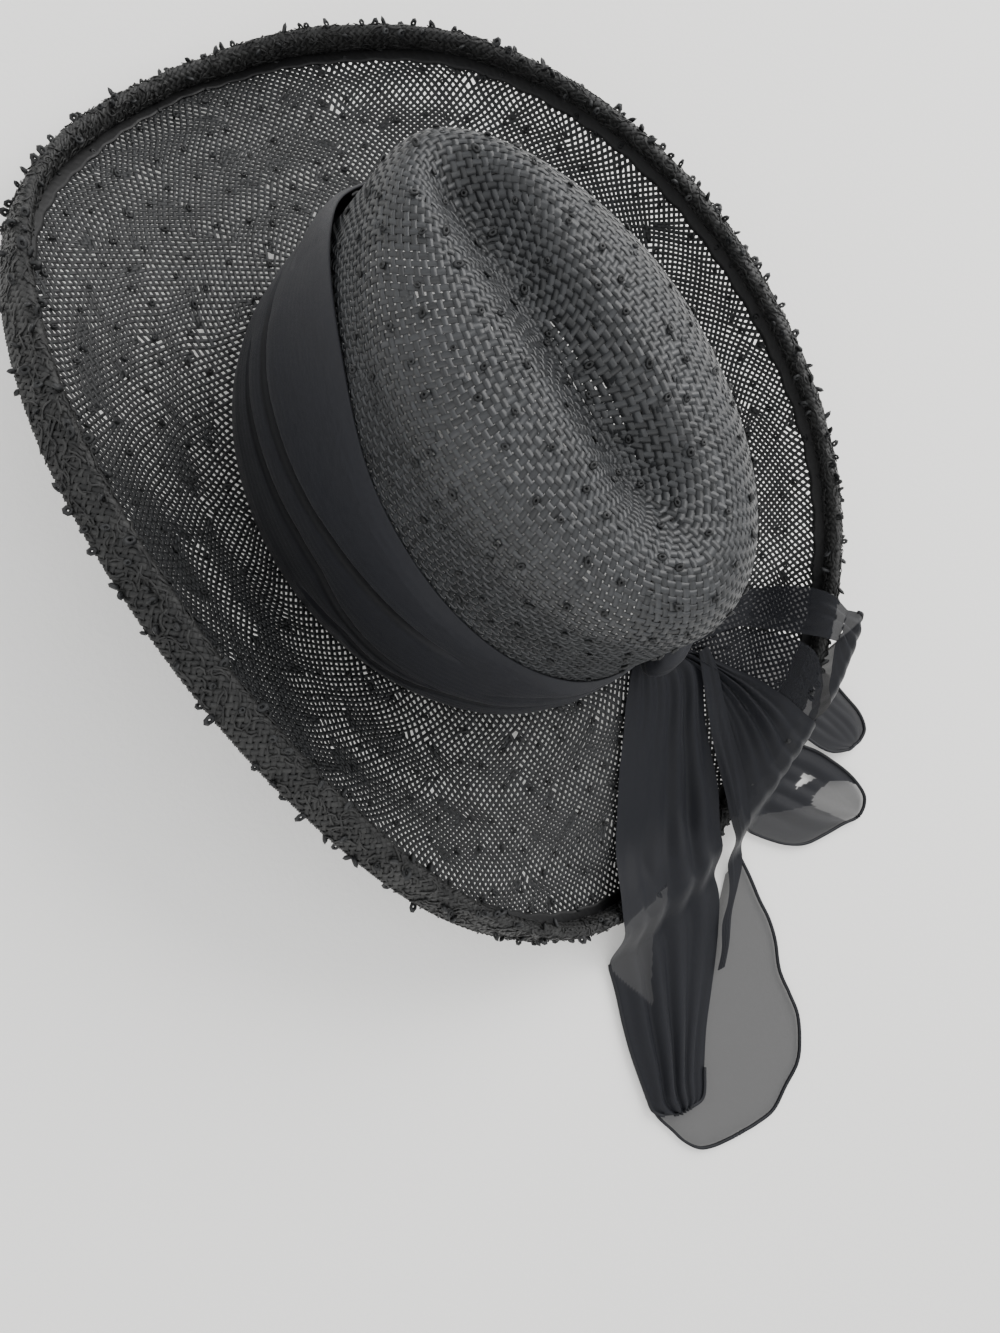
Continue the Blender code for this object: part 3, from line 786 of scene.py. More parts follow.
def crown_fan_strands(seed):
    """Strands from the tip's spine down to the head line, with a point at each ring they cross."""
    random = np.random.default_rng(seed)
    strands = []
    for strand in range(fan.count):
        met = np.nonzero(ring_shares >= fan.starts[strand])[0]
        if len(met) < 3:
            continue
        at = ring_shares[met]
        if fan.starts[strand] < 0:
            at, met = np.append(SPINE_SHARE, at), np.append(met[0] - 1, met)
        angle = crown_rings.angle_at(np.interp(at, crown_rings.shares, fan.centres[strand]), at)
        over = np.where((strand + met) % 2 == 0, 1.0, -1.0)
        places, normals = crown_places(angle, at, over * CROWN_RIPPLE)
        strands.append((places, normals, crown_widths(random, len(at)) * tip_closeness(at), False))
    return strands


def crown_ring_strands(seed):
    """Closed strands round the crown, with a point at each fanning strand they cross."""
    random = np.random.default_rng(seed)
    strands = []
    for ring, share in enumerate(ring_shares):
        met = np.nonzero(fan.starts <= share)[0]
        centres = np.array([np.interp(share, crown_rings.shares, fan.centres[strand]) for strand in met])
        at = np.full(len(met), share) + random.normal(0, RING_WANDER, len(met))
        at = np.clip(at, 0.0005, 0.9995)
        angle = crown_rings.angle_at(centres, at)
        over = np.where((ring + met) % 2 == 0, -1.0, 1.0)
        places, normals = crown_places(angle, at, over * CROWN_RIPPLE)
        widths = crown_widths(random, len(at)) * ring_stretch(angle, at) * tip_closeness(share)
        strands.append((places, normals, widths, True))
    return strands


crown_fan = ribbons("crown_fan_strands", crown_fan_strands(21), CROWN_STRAW_PAINTED_SHEEN, CROWN_STRAND_THICK, seed=22)
crown_round = ribbons("crown_ring_strands", crown_ring_strands(23), CROWN_STRAW_PAINTED_SHEEN, CROWN_STRAND_THICK,
                      seed=24)
for piece in (crown_fan, crown_round):
    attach(piece, "root")
    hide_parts("crown")

# %% [markdown]
# ## The turned edge
# The rim is rolled up into a soft bead of the same straw, a few turns thick. From outside it
# is a close, rough weave over a dark core. The core is a plain dark roll a little inside the
# solid's section, and the same slanting weave runs over it, wrapped round the section.

# %% Section of the bead
EDGE_SECTION = ((0.00, 0.00), (0.00, 0.28), (0.02, 0.62), (0.16, 0.90), (0.46, 1.00),
                (0.78, 0.90), (0.98, 0.66), (0.98, 0.42), (0.80, 0.22), (0.60, 0.02), (0.25, -0.04))
EDGE_CORE_INSET = 0.00045
EDGE_LOWEST = 0.0009


def edge_surface(angle, share, inset=0.0):
    """The bead's skin: share runs once round its section, from the outer foot over the top."""
    angle, share = np.broadcast_arrays(angle, share)
    section = np.array(EDGE_SECTION)
    inward = through(section[:, 0], share * len(section))
    upward_share = through(section[:, 1], share * len(section))
    outward, upward = rim_directions(angle)
    rise = -STRAW_WALL + (EDGE_HEIGHT + STRAW_WALL) * upward_share
    middle_in, middle_up = EDGE_WIDTH / 2, (EDGE_HEIGHT - STRAW_WALL) / 2
    reach = EDGE_WIDTH * inward
    keep = 1 - inset / (EDGE_WIDTH / 2)
    reach = middle_in + (reach - middle_in) * keep
    rise = middle_up + (rise - middle_up) * keep
    place = brim_surface(angle, 1.0) - outward * reach[..., None] + upward * rise[..., None]
    place[..., 2] = np.maximum(place[..., 2], EDGE_LOWEST)
    return place


def edge_middle(angle):
    """The middle of the bead's section."""
    outward, upward = rim_directions(angle)
    middle_up = (EDGE_HEIGHT - STRAW_WALL) / 2
    return brim_surface(angle, 1.0) - outward * (EDGE_WIDTH / 2) + upward * middle_up


# %% A grid bent into shape
def object_from(shape, name, material):
    """A smooth object made from a finished bmesh."""
    mesh = bpy.data.meshes.new(name)
    shape.to_mesh(mesh)
    shape.free()
    mesh.shade_smooth()
    mesh.materials.append(material)
    thing = bpy.data.objects.new(name, mesh)
    scene.collection.objects.link(thing)
    print(name, len(mesh.polygons) * 2, "triangles")
    return thing


def bent_grid(name, steps_u, steps_v, shaper, material, map_size):
    """A bmesh grid whose points are placed by shaper(u, v); sides that meet are welded."""
    shape = bmesh.new()
    layer = shape.loops.layers.uv.new("strand")
    bmesh.ops.create_grid(shape, x_segments=steps_u, y_segments=steps_v, size=0.5)
    shape.verts.ensure_lookup_table()
    flat = np.array([vert.co[:2] for vert in shape.verts]) + 0.5
    placed = shaper(flat[:, 0], flat[:, 1])
    for face in shape.faces:
        for loop in face.loops:
            u, v = loop.vert.co[:2]
            loop[layer].uv = ((u + 0.5) * map_size[0], (v + 0.5) * map_size[1])
    for vert, place in zip(shape.verts, placed):
        vert.co = place
    bmesh.ops.remove_doubles(shape, verts=shape.verts, dist=0.00002)
    return object_from(shape, name, material)


# %% Core and woven skin of the bead
edge_core = bent_grid("edge_core", 420, 22, lambda u, v: edge_surface(u * math.tau, v, EDGE_CORE_INSET),
                      EDGE_STRAW, map_size=(110.0, 3.4))
EDGE_SLANT = math.radians(45)
EDGE_PITCH = 0.00190
EDGE_STRAND_WIDTH = 0.00162
EDGE_STRAND_THICK = 0.00045
EDGE_RIPPLE = 0.00026
edge_rings = Rings(edge_surface)
edge_pairs = np.round(edge_rings.lengths.mean() * math.cos(EDGE_SLANT) / EDGE_PITCH / 2)
edge_counts = np.full(RINGS, float(edge_pairs * 2))
section_line = edge_surface(np.full(200, 0.4), np.linspace(0, 1, 200))
section_length = float(np.sum(np.linalg.norm(np.diff(section_line, axis=0), axis=1)))
edge_turn = edge_rings.shares * section_length / edge_rings.lengths.mean()
edge_families = [Family(edge_counts, edge_rings.shares, 0.1, first) for first in (0.2, 0.7)]
edge_strands = slanting_weave(
    edge_surface, edge_rings, edge_families, edge_turn,
    lambda angle, share: np.ones(len(share), dtype=bool),
    lambda angle, share: edge_surface(angle, share) - edge_middle(angle),
    EDGE_STRAND_WIDTH, EDGE_RIPPLE, seed=31)
edge_one = ribbons("edge_strands_one_way", edge_strands[0], EDGE_STRAW, EDGE_STRAND_THICK, seed=32)
edge_other = ribbons("edge_strands_other_way", edge_strands[1], EDGE_STRAW, EDGE_STRAND_THICK, seed=33)
for piece in (edge_core, edge_one, edge_other):
    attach(piece, "root")
    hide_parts("turned_edge")

# %% The doubled straw inside the bead
STRIP_REACH = 0.0048
STRIP_LIFT = 0.00055
STRIP_RELIEF = 0.00016
STRIP_WAVER = 0.0004
STRIP_WALL = 0.0004


def doubled_strip(u, v):
    """A strip of the brim's skin just inside the bead, where the straw lies double."""
    angle = u * math.tau
    breadth = np.linalg.norm(brim_surface(angle, 1.0) - brim_surface(angle, 0.0), axis=-1)
    share = 1 - (EDGE_WIDTH * 0.5 + (EDGE_WIDTH * 0.5 + STRIP_REACH) * (1 - v)) / breadth
    lift = STRIP_LIFT + STRIP_RELIEF * np.sin(angle * 900 + 9 * v) * np.sin(v * 40 + angle * 60)
    waver = STRIP_WAVER * np.sin(angle * 77) * (1 - v) / breadth
    return brim_surface(angle, share + waver) + UP * lift[:, None]


strip = bent_grid("edge_doubled_strip", 1200, 6, doubled_strip, EDGE_STRAW, map_size=(110.0, 1.0))
strip_wall = strip.modifiers.new("straw", 'SOLIDIFY')
strip_wall.thickness = STRIP_WALL
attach(strip, "root")
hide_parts("turned_edge")

# %% [markdown]
# ## Straw ends
# Short, curled ends of straw lie over the outside of the bead and stand a little off it.
# Each is a ribbon with four points, laid at random near the bead's skin.

# %% Short curled ends
ENDS_COUNT = 1900
END_LENGTH = (0.0028, 0.0062)
END_WIDTH = 0.00062
END_THICK = 0.00030
END_LIFT = 0.00045
END_ARCH = 0.00015
END_TIP_LIFT = 0.0007
END_LOWEST = 0.0004
RIM_MEAN_RADIUS = 0.175


def straw_ends(seed):
    """Short strands at random round the rim and over the outer side of the bead."""
    random = np.random.default_rng(seed)
    strands = []
    for _ in range(ENDS_COUNT):
        angle = random.uniform(0, math.tau)
        share = random.uniform(0.02, 0.66)
        length = random.uniform(*END_LENGTH)
        slant = random.uniform(-1.0, 1.0) * 0.9
        steps = np.linspace(-0.5, 0.5, 4)
        curl = random.uniform(-0.35, 0.35) * steps ** 2 * 4
        along_rim = steps * math.cos(slant) + curl * math.sin(slant)
        along_section = steps * math.sin(slant) - curl * math.cos(slant)
        angles = angle + along_rim * length / RIM_MEAN_RADIUS
        shares = share + along_section * length / section_length
        skin = edge_surface(angles, shares)
        normals = surface_normal(edge_surface, angles, shares, skin - edge_middle(angles))
        first_tip = random.uniform(0.0, END_TIP_LIFT)
        last_tip = random.uniform(0.0, END_TIP_LIFT)
        lift = END_LIFT + np.array([first_tip, END_ARCH, END_ARCH, last_tip])
        places = skin + normals * lift[:, None]
        places[:, 2] = np.maximum(places[:, 2], END_LOWEST)
        strands.append((places, normals, np.full(4, END_WIDTH * random.uniform(0.7, 1.3)), False))
    return strands


straw_tips = ribbons("edge_straw_ends", straw_ends(41), EDGE_STRAW, END_THICK, seed=42)
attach(straw_tips, "root")

# %% [markdown]
# ## Small knots in the straw
# The straw is tied with hundreds of tiny loops, one every 13 mm or so over the crown and the
# brim, and thicker along the rim, where they stand out from the bead. One loop is a small
# bent ring; its copies are turned, stretched and joined into one mesh by arrays.

# %% One loop
LOOP_RADIUS = 0.00070
LOOP_WIRE = 0.00052


def settle_order(shape):
    """Lists points and faces by their places, because spin lists them in a new order each run."""
    for parts, place in ((shape.verts, lambda vert: vert.co),
                         (shape.faces, lambda face: face.calc_center_median())):
        for index, part in enumerate(sorted(parts, key=lambda part: place(part).to_tuple(7))):
            part.index = index
        parts.sort()
        parts.index_update()


def loop_shape():
    """Points and faces of one small ring, made by spinning a circle."""
    shape = bmesh.new()
    made = bmesh.ops.create_circle(shape, segments=4, radius=LOOP_WIRE)
    bmesh.ops.rotate(shape, verts=made["verts"], matrix=Matrix.Rotation(math.pi / 2, 3, 'X'))
    bmesh.ops.translate(shape, verts=made["verts"], vec=(LOOP_RADIUS, 0, 0))
    bmesh.ops.spin(shape, geom=shape.verts[:] + shape.edges[:], axis=(0, 0, 1), cent=(0, 0, 0),
                   angle=math.tau, steps=7, use_merge=True)
    bmesh.ops.remove_doubles(shape, verts=shape.verts, dist=0.00001)
    bmesh.ops.recalc_face_normals(shape, faces=shape.faces)
    settle_order(shape)
    verts = np.array([vert.co for vert in shape.verts])
    quads = np.array([[vert.index for vert in face.verts] for face in shape.faces])
    shape.free()
    return verts, quads


# %% Where the loops are tied
BRIM_LOOP_ROWS = 8
BRIM_ROW_GAP = 0.0128
BRIM_LOOP_GAP = 0.0132
BRIM_LOOP_STOP = 0.95
CROWN_LOOP_ROWS = 13
CROWN_ROW_GAP = 0.0125
CROWN_LOOP_GAP = 0.0138
BAND_TOP_ROOM = 0.0025
RIM_LOOPS = 330
RIM_LOOP_SHARES = (-0.10, 0.50)
RIM_LOOP_LOWEST = 0.004
ROW_SCATTER = 0.35
STEP_SCATTER = 0.32
FLAT_LOOP_SIZES = (0.75, 1.15)
RIM_LOOP_SIZES = (1.0, 1.6)
FLAT_STAND = 0.25
RIM_STANDS = (0.5, 1.0)


def brim_loops(random):
    """Place, normal, size and stand of each loop on the brim, in staggered rows."""
    for row in range(BRIM_LOOP_ROWS):
        share = (row + 0.6) * BRIM_ROW_GAP / LATTICE_REACH
        count = int(np.interp(share, brim_rings.shares, brim_rings.lengths) / BRIM_LOOP_GAP)
        for step in range(count):
            at = share + random.uniform(-ROW_SCATTER, ROW_SCATTER) * BRIM_ROW_GAP / LATTICE_REACH
            turn_share = (step + 0.5 * (row % 2) + random.uniform(-STEP_SCATTER, STEP_SCATTER)) / count
            angle = brim_rings.angle_at(np.array([turn_share]), np.array([at]))
            if lattice_at(angle, at)[0, 3] > BRIM_LOOP_STOP:
                continue
            shares = np.array([at])
            normal = surface_normal(lattice_surface, angle, shares, UP)
            yield lattice_surface(angle, shares)[0], normal[0], random.uniform(*FLAT_LOOP_SIZES), FLAT_STAND


def crown_loops(random):
    """The same for the loops on the crown, down to the top of the band."""
    for row in range(CROWN_LOOP_ROWS):
        share = (row + 0.4) * CROWN_ROW_GAP / CROWN_LINE
        count = max(6, int(np.interp(share, crown_rings.shares, crown_rings.lengths) / CROWN_LOOP_GAP))
        for step in range(count):
            at = np.array([share + random.uniform(-ROW_SCATTER, ROW_SCATTER) * CROWN_ROW_GAP / CROWN_LINE])
            at = np.clip(at, 0.01, 0.99)
            turn_share = (step + 0.5 * (row % 2) + random.uniform(-STEP_SCATTER, STEP_SCATTER)) / count
            angle = crown_rings.angle_at(np.array([turn_share]), at)
            place, normal = crown_places(angle, at, np.array([0.0]))
            band_top = HEAD_LINE + CROWN_HEIGHT * float(round_table(BAND_TOP, angle)[0])
            if place[0, 2] < band_top + BAND_TOP_ROOM:
                continue
            yield place[0], normal[0], random.uniform(*FLAT_LOOP_SIZES), FLAT_STAND


def rim_loops(random):
    """The same for the larger loops that stand out from the bead."""
    for step in range(RIM_LOOPS):
        angle = np.array([(step + random.uniform(-0.45, 0.45)) / RIM_LOOPS * math.tau])
        share = np.array([random.uniform(*RIM_LOOP_SHARES)])
        place = edge_surface(angle, share)
        normal = surface_normal(edge_surface, angle, share, place - edge_middle(angle))
        if place[0, 2] < RIM_LOOP_LOWEST:
            continue
        yield place[0], normal[0], random.uniform(*RIM_LOOP_SIZES), random.uniform(*RIM_STANDS)


def loop_places(seed):
    """Places, normals, sizes and stands of all the loops, each as one array."""
    random = np.random.default_rng(seed)
    found = [*brim_loops(random), *crown_loops(random), *rim_loops(random)]
    return [np.array(column) for column in zip(*found)]


# %% Loops over the crown, the brim and the rim
LOOP_LIFT = 0.00055
LOOP_STAND_LIFT = 0.00095


def scatter_loops(name, seed, material):
    """All the loops as one joined mesh; stand 0 lies flat on the straw and 1 stands out from it."""
    random = np.random.default_rng(seed)
    verts, quads = loop_shape()
    places, normals, sizes, stands = loop_places(seed + 1)
    count = len(places)
    helper = unit(random.normal(size=(count, 3)))
    side = unit(np.cross(normals, helper))
    ahead = np.cross(normals, side)
    tilt = stands * math.pi / 2 * random.uniform(0.7, 1.0, count)
    axis_long = ahead * np.cos(tilt)[:, None] + normals * np.sin(tilt)[:, None]
    axis_up = normals * np.cos(tilt)[:, None] - ahead * np.sin(tilt)[:, None]
    long_way = random.uniform(1.0, 1.7, count)
    scaled = sizes[:, None]
    lift = LOOP_LIFT + stands * LOOP_STAND_LIFT
    middle = places + normals * lift[:, None]
    out = (middle[:, None, :]
           + side[:, None, :] * (verts[None, :, 0:1] * scaled[:, :, None])
           + axis_long[:, None, :] * (verts[None, :, 1:2] * (scaled * long_way[:, None])[:, :, None])
           + axis_up[:, None, :] * (verts[None, :, 2:3] * scaled[:, :, None]))
    faces = (quads[None] + (np.arange(count) * len(verts))[:, None, None]).reshape(-1, 4)
    uv = np.tile(np.array([[0, 0], [1, 0], [1, 0.3], [0, 0.3]]), (len(faces), 1)).reshape(-1, 4, 2)
    uv = uv + np.repeat(random.uniform(0, 20, count), len(quads))[:, None, None]
    tones = np.repeat(0.5 + random.uniform(-0.22, 0.05, count), len(verts))
    return joined_mesh(name, out.reshape(-1, 3), faces, uv, tones, material)


loops = scatter_loops("straw_loops", 51, BRIM_STRAW)
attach(loops, "root")

# %% [markdown]
# ## Chiffon
# The scarf is a thin, nearly black silk chiffon with a faint blue cast. One layer lets through
# a little under a third of what lies behind it, so folded cloth gets darker with each layer.
# A group turns a number of plies, kept on the mesh, into how much the cloth covers, and adds
# the weave and painted shade along the band's grooves.

# %% The chiffon group
PLY_OPEN = 0.29
PLY_SPREAD = 0.10
# Painted shade: the colour that the cloth is darkened towards in the band's grooves.
PAINTED_GROOVE_SHADE_COLOUR = (0.001, 0.001, 0.0013, 1)
THREAD_WAVE = {"Scale": 1.0, "Distortion": 0.6, "Detail": 1.0}


def make_chiffon_group():
    """Colour, roughness, height and cover of the cloth from its map, its plies and the shade painted into
    its grooves.
    """
    group, start, end = new_group(
        "chiffon_weave",
        [("Dark", "Color", (0.003, 0.0033, 0.0048, 1)), ("Light", "Color", (0.012, 0.0128, 0.0175, 1)),
         ("Threads", "Float", 3.0)],
        [("Color", "Color"), ("Roughness", "Float"), ("Height", "Float"), ("Cover", "Float")])
    links = group.links
    cloth = add_node(group, "UVMap", uv_map="strand")
    plies = add_node(group, "Attribute", attribute_name="plies")
    scaled = add_node(group, "VectorMath", operation='SCALE')
    links.new(cloth.outputs["UV"], scaled.inputs[0])
    links.new(start.outputs["Threads"], scaled.inputs["Scale"])
    warp = add_node(group, "TexWave", THREAD_WAVE, bands_direction='X')
    weft = add_node(group, "TexWave", THREAD_WAVE, bands_direction='Y')
    slow = add_node(group, "TexNoise", {"Scale": 0.55, "Detail": 3.0})
    for node in (warp, weft):
        links.new(scaled.outputs["Vector"], node.inputs["Vector"])
    links.new(cloth.outputs["UV"], slow.inputs["Vector"])
    threads = maths(group, 'MULTIPLY', warp.outputs["Fac"], weft.outputs["Fac"])
    thread_light = maths(group, 'MULTIPLY', threads, 0.5)
    level = maths(group, 'ADD', thread_light, maths(group, 'MULTIPLY', slow.outputs["Fac"], 0.6))
    # Painted shade: the groove attribute darkens the cloth's colour along the band's creases.
    groove = add_node(group, "Attribute", attribute_name="groove")
    cloth_colour = mix_colour(group, level, start.outputs["Dark"], start.outputs["Light"])
    painted_shade_depth = maths(group, 'MULTIPLY', groove.outputs["Fac"], 0.85)
    links.new(mix_colour(group, painted_shade_depth, cloth_colour, PAINTED_GROOVE_SHADE_COLOUR), end.inputs["Color"])
    roughness = maths(group, 'ADD', 0.48, maths(group, 'MULTIPLY', slow.outputs["Fac"], 0.2))
    links.new(roughness, end.inputs["Roughness"])
    links.new(threads, end.inputs["Height"])
    spread = maths(group, 'MULTIPLY', threads, PLY_SPREAD)
    open_share = maths(group, 'ADD', PLY_OPEN - PLY_SPREAD / 2, spread)
    through_cloth = maths(group, 'POWER', open_share, plies.outputs["Fac"])
    links.new(maths(group, 'SUBTRACT', 1.0, through_cloth), end.inputs["Cover"])
    return group


chiffon_group = make_chiffon_group()


def chiffon_material(name, see_through, dark=None, light=None):
    """A chiffon finish; the sheer cloth is see-through, the folded band isn't."""
    material = bpy.data.materials.new(name)
    material.use_nodes = True
    tree = material.node_tree
    shader = tree.nodes["Principled BSDF"]
    weave = tree.nodes.new("ShaderNodeGroup")
    weave.node_tree = chiffon_group
    if dark:
        weave.inputs["Dark"].default_value = (*dark, 1)
        weave.inputs["Light"].default_value = (*light, 1)
    bump = add_node(tree, "Bump", {"Strength": 0.25, "Distance": 0.00008})
    tree.links.new(weave.outputs["Color"], shader.inputs["Base Color"])
    tree.links.new(weave.outputs["Roughness"], shader.inputs["Roughness"])
    tree.links.new(weave.outputs["Height"], bump.inputs["Height"])
    tree.links.new(bump.outputs["Normal"], shader.inputs["Normal"])
    if see_through:
        tree.links.new(weave.outputs["Cover"], shader.inputs["Alpha"])
    shader.inputs["Specular IOR Level"].default_value = 0.22
    shader.inputs["Sheen Weight"].default_value = 0.05
    shader.inputs["Sheen Roughness"].default_value = 0.4
    return material


CHIFFON = chiffon_material("black_chiffon", True)
BAND_CHIFFON = chiffon_material("band_chiffon", False,
                                dark=(0.008, 0.0083, 0.0105), light=(0.024, 0.0248, 0.0300))
HEM_CHIFFON = straw_material("rolled_hem", (0.004, 0.0042, 0.006), (0.014, 0.015, 0.019),
                             least_roughness=0.45, fibres=40.0, specular=0.3)

# %% [markdown]
# ## The band
# The scarf goes round the crown as a broad band. Its upper part is smooth, and two or three
# long pleats are laid along it below. Each pleat ends at a narrow groove: the cloth above
# it swells out far, the cloth below it a little, and the groove fades away at both ends.

# %% The band's outline and creases
BAND_STAND = 0.0048
BAND_FRONT_STAND = 0.0030
BAND_LEAST_STAND = 0.0009
BAND_SEAT = 0.0003
BAND_WALL = 0.0006
BAND_STAND_ROWS = ((0.0, 0.55), (0.10, 0.85), (0.30, 0.90), (0.50, 0.72),
                   (0.80, 0.55), (0.94, 0.42), (1.0, 0.20))
CREASES = (
    ((-64, 33), (-45, 37), (-24, 41), (0, 45), (21, 46), (40, 45)),
    ((-50, 20), (-24, 25), (-5, 28), (4, 27), (13, 23), (26, 20), (42, 19)),
    ((4, 9), (17, 13), (25, 10), (33, 11), (44, 17), (55, 19), (66, 25), (82, 28)),
    ((50, 30), (62, 38), (77, 42), (90, 36)),
    ((-100, 30), (-84, 38), (-70, 44), (-58, 52)),
    ((124, 14), (150, 26), (180, 31), (215, 27), (240, 20)),
    ((140, 30), (170, 42), (200, 46), (230, 40), (262, 34)),
)
CREASE_SWELL = 0.0016
CREASE_CUT = 0.0034
CREASE_HALF = 0.0011
CREASE_REACH_UP = 0.0100
CREASE_REACH_DOWN = 0.0050
FINE_STREAK = 0.00003
SLOW_STREAK = 0.00014


def band_creases(angle, height):
    """How far the pleats stand off or sink in at an angle and a height, and the shade painted into the
    grooves.
    """
    degrees = np.degrees(angle)
    total = np.zeros(np.broadcast(angle, height).shape)
    shade = np.zeros_like(total)
    for line in CREASES:
        line = np.array(line, dtype=float)
        turned = (degrees - line[0, 0]) % 360 + line[0, 0]
        level = np.interp(turned, line[:, 0], line[:, 1]) / 1000
        fade_in = np.clip((turned - line[0, 0]) / 16, 0, 1)
        fade_out = np.clip((line[-1, 0] - turned) / 18, 0, 1)
        fade = (fade_in * fade_out) ** 0.8
        above = height - level
        reach = np.where(above > 0, CREASE_REACH_UP, CREASE_REACH_DOWN)
        swell = np.abs(above) / reach * np.exp(1 - np.abs(above) / reach)
        groove = np.exp(-(above / CREASE_HALF) ** 2)
        # Painted shade: a narrow band just under each crease line, which darkens the cloth's colour.
        shade = np.maximum(shade, fade * np.exp(-((above + 0.0004) / 0.0013) ** 2))
        total += fade * (CREASE_SWELL * np.where(above > 0, 1.0, 0.35) * swell - CREASE_CUT * groove)
    return total, shade


def band_skin(u, v):
    """Places of the band's outer skin; u runs round the crown and v up the band."""
    angle = u * math.tau
    top = round_table(BAND_TOP, angle) * CROWN_HEIGHT
    height = BAND_SEAT + (top - BAND_SEAT) * v
    rise = height / CROWN_HEIGHT
    front = np.maximum(0.0, -np.sin(angle)) ** 2
    rows = np.array(BAND_STAND_ROWS)
    stand = BAND_STAND * np.interp(v, rows[:, 0], rows[:, 1]) + BAND_FRONT_STAND * front * v
    room = np.minimum(v / 0.06, 1) * np.minimum((1 - v) / 0.10, 1)
    streaks = FINE_STREAK * np.sin(height * 2100 + 3 * np.sin(angle * 3) + 2.1 * np.sin(angle * 7 + 1))
    streaks += SLOW_STREAK * np.sin(height * 310 + 4 * np.sin(angle * 2 + 0.4)) * np.sin(angle * 3 + 1)
    stand = stand + room * (band_creases(angle, height)[0] + streaks)
    stand = np.maximum(stand, BAND_LEAST_STAND)
    small = 0.004
    around = crown_wall(angle + small, rise) - crown_wall(angle - small, rise)
    up = crown_wall(angle, rise + small) - crown_wall(angle, np.maximum(rise - small, 0))
    return crown_wall(angle, rise) + unit(np.cross(around, up)) * stand[:, None] + PLAN_MIDDLE


# %% The band
band = bent_grid("scarf_band_cloth", 260, 110, band_skin, BAND_CHIFFON, map_size=(560.0, 60.0))
band_plan = np.array([vert.co for vert in band.data.vertices]) - PLAN_MIDDLE
band_rise = (band_plan[:, 2] - HEAD_LINE) / CROWN_HEIGHT
band_angle = np.arctan2(band_plan[:, 1] / HEAD_HALF[1], band_plan[:, 0] / HEAD_HALF[0])
# Painted shade of the grooves, kept on the band as a point attribute for the chiffon group.
band_painted_shade_layer = band.data.attributes.new("groove", 'FLOAT', 'POINT')
band_painted_shade = band_creases(band_angle, band_rise * CROWN_HEIGHT)[1]
band_painted_shade_layer.data.foreach_set("value", band_painted_shade.astype(np.float32))
band_wall = band.modifiers.new("cloth", 'SOLIDIFY')
band_wall.thickness = BAND_WALL
band_wall.offset = -1.0
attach(band, "root")
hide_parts("scarf_band")

# %% [markdown]
# ## The knot
# Behind the right ear the scarf is tied once. The knot is a small firm ball of cloth with
# creases that run over it from the band to the ends.

# %% Knot
KNOT_ANGLE = math.radians(111.0)
KNOT_SIZE = (0.034, 0.017, 0.028)
knot_low, knot_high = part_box("scarf_knot")
KNOT_MIDDLE = np.array([(knot_low[axis] + knot_high[axis]) / 2 for axis in range(3)])
knot_out = unit(np.array([math.cos(KNOT_ANGLE) * HEAD_HALF[1],
                          math.sin(KNOT_ANGLE) * HEAD_HALF[0], 0.0]))
knot_side = np.array([knot_out[1], -knot_out[0], 0.0])
knot_shape = bmesh.new()
knot_map = knot_shape.loops.layers.uv.new("strand")
bmesh.ops.create_uvsphere(knot_shape, u_segments=96, v_segments=60, radius=0.5, calc_uvs=True)
for face in knot_shape.faces:
    for loop in face.loops:
        loop[knot_map].uv = (loop.vert.co.x * 60, loop.vert.co.z * 60)
for vert in knot_shape.verts:
    across, deep, high = (value * 2 for value in vert.co)
    fold = math.cos(4.2 * math.pi * high + 2.4 * across + 0.7 * math.sin(5 * across))
    cut = 1 - 0.13 * (0.5 + 0.5 * fold) ** 2
    waist = 1 - 0.12 * math.exp(-(across * 3) ** 2)
    vert.co = (KNOT_MIDDLE + knot_side * across * KNOT_SIZE[0] / 2 + knot_out * deep * cut * KNOT_SIZE[1] / 2
               + UP * high * waist * (1 - 0.03 * fold) * KNOT_SIZE[2] / 2)
bmesh.ops.recalc_face_normals(knot_shape, faces=knot_shape.faces)
settle_order(knot_shape)
knot = object_from(knot_shape, "scarf_knot_cloth", BAND_CHIFFON)
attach(knot, "root")
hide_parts("scarf_knot")

# %% [markdown]
# ## The two loose ends
# The ends lie over the brim, climb its turned edge and fall to the table. They are sheer, so
# what shows is how many layers lie on each other: the folded parts are dark, and a single
# layer is grey. Each end is made of a few patches. A patch has a left and a right border, in
# millimetres from the middle of the head, and lies a little above what is under it. A cloth
# simulation would give soft folds too, but not these very ones, so the patches are laid.

# %% The height that cloth lies at
EDGE_CLEARANCE = 0.0020
CLOTH_GAP = 0.0003
FALL_LEAST = 0.012
FALL_PER_HEIGHT = 0.35
RAMP_PER_HEIGHT = 3.0
RAMP_STOP_SHARE = 1.6


def cloth_height(x, y):
    """Lowest height at which cloth clears the brim, its turned edge and the table."""
    angle, share = brim_under(x, y)
    inner = brim_surface(angle, 0.0)
    outer = brim_surface(angle, 1.0)
    breadth = np.linalg.norm(outer - inner, axis=-1)
    edge_top = outer[..., 2] + EDGE_HEIGHT + EDGE_CLEARANCE
    from_edge = (share - 1) * breadth
    fall = FALL_LEAST + FALL_PER_HEIGHT * edge_top
    left = np.maximum(0.0, 1 - np.maximum(0.0, from_edge - EDGE_CLEARANCE) / fall)
    outside = CLOTH_GAP + (edge_top - CLOTH_GAP) * (3 * left ** 2 - 2 * left ** 3)
    ramp = EDGE_WIDTH + RAMP_PER_HEIGHT * EDGE_HEIGHT
    near = np.clip((from_edge + ramp) / (ramp - RAMP_STOP_SHARE * EDGE_WIDTH), 0.0, 1.0)
    surface = brim_surface(angle, np.minimum(1.0, share))[..., 2] + CLOTH_GAP * 2
    inside = surface + (edge_top - surface) * near ** 2 * (3 - 2 * near)
    return np.where(from_edge > 0, outside, inside)


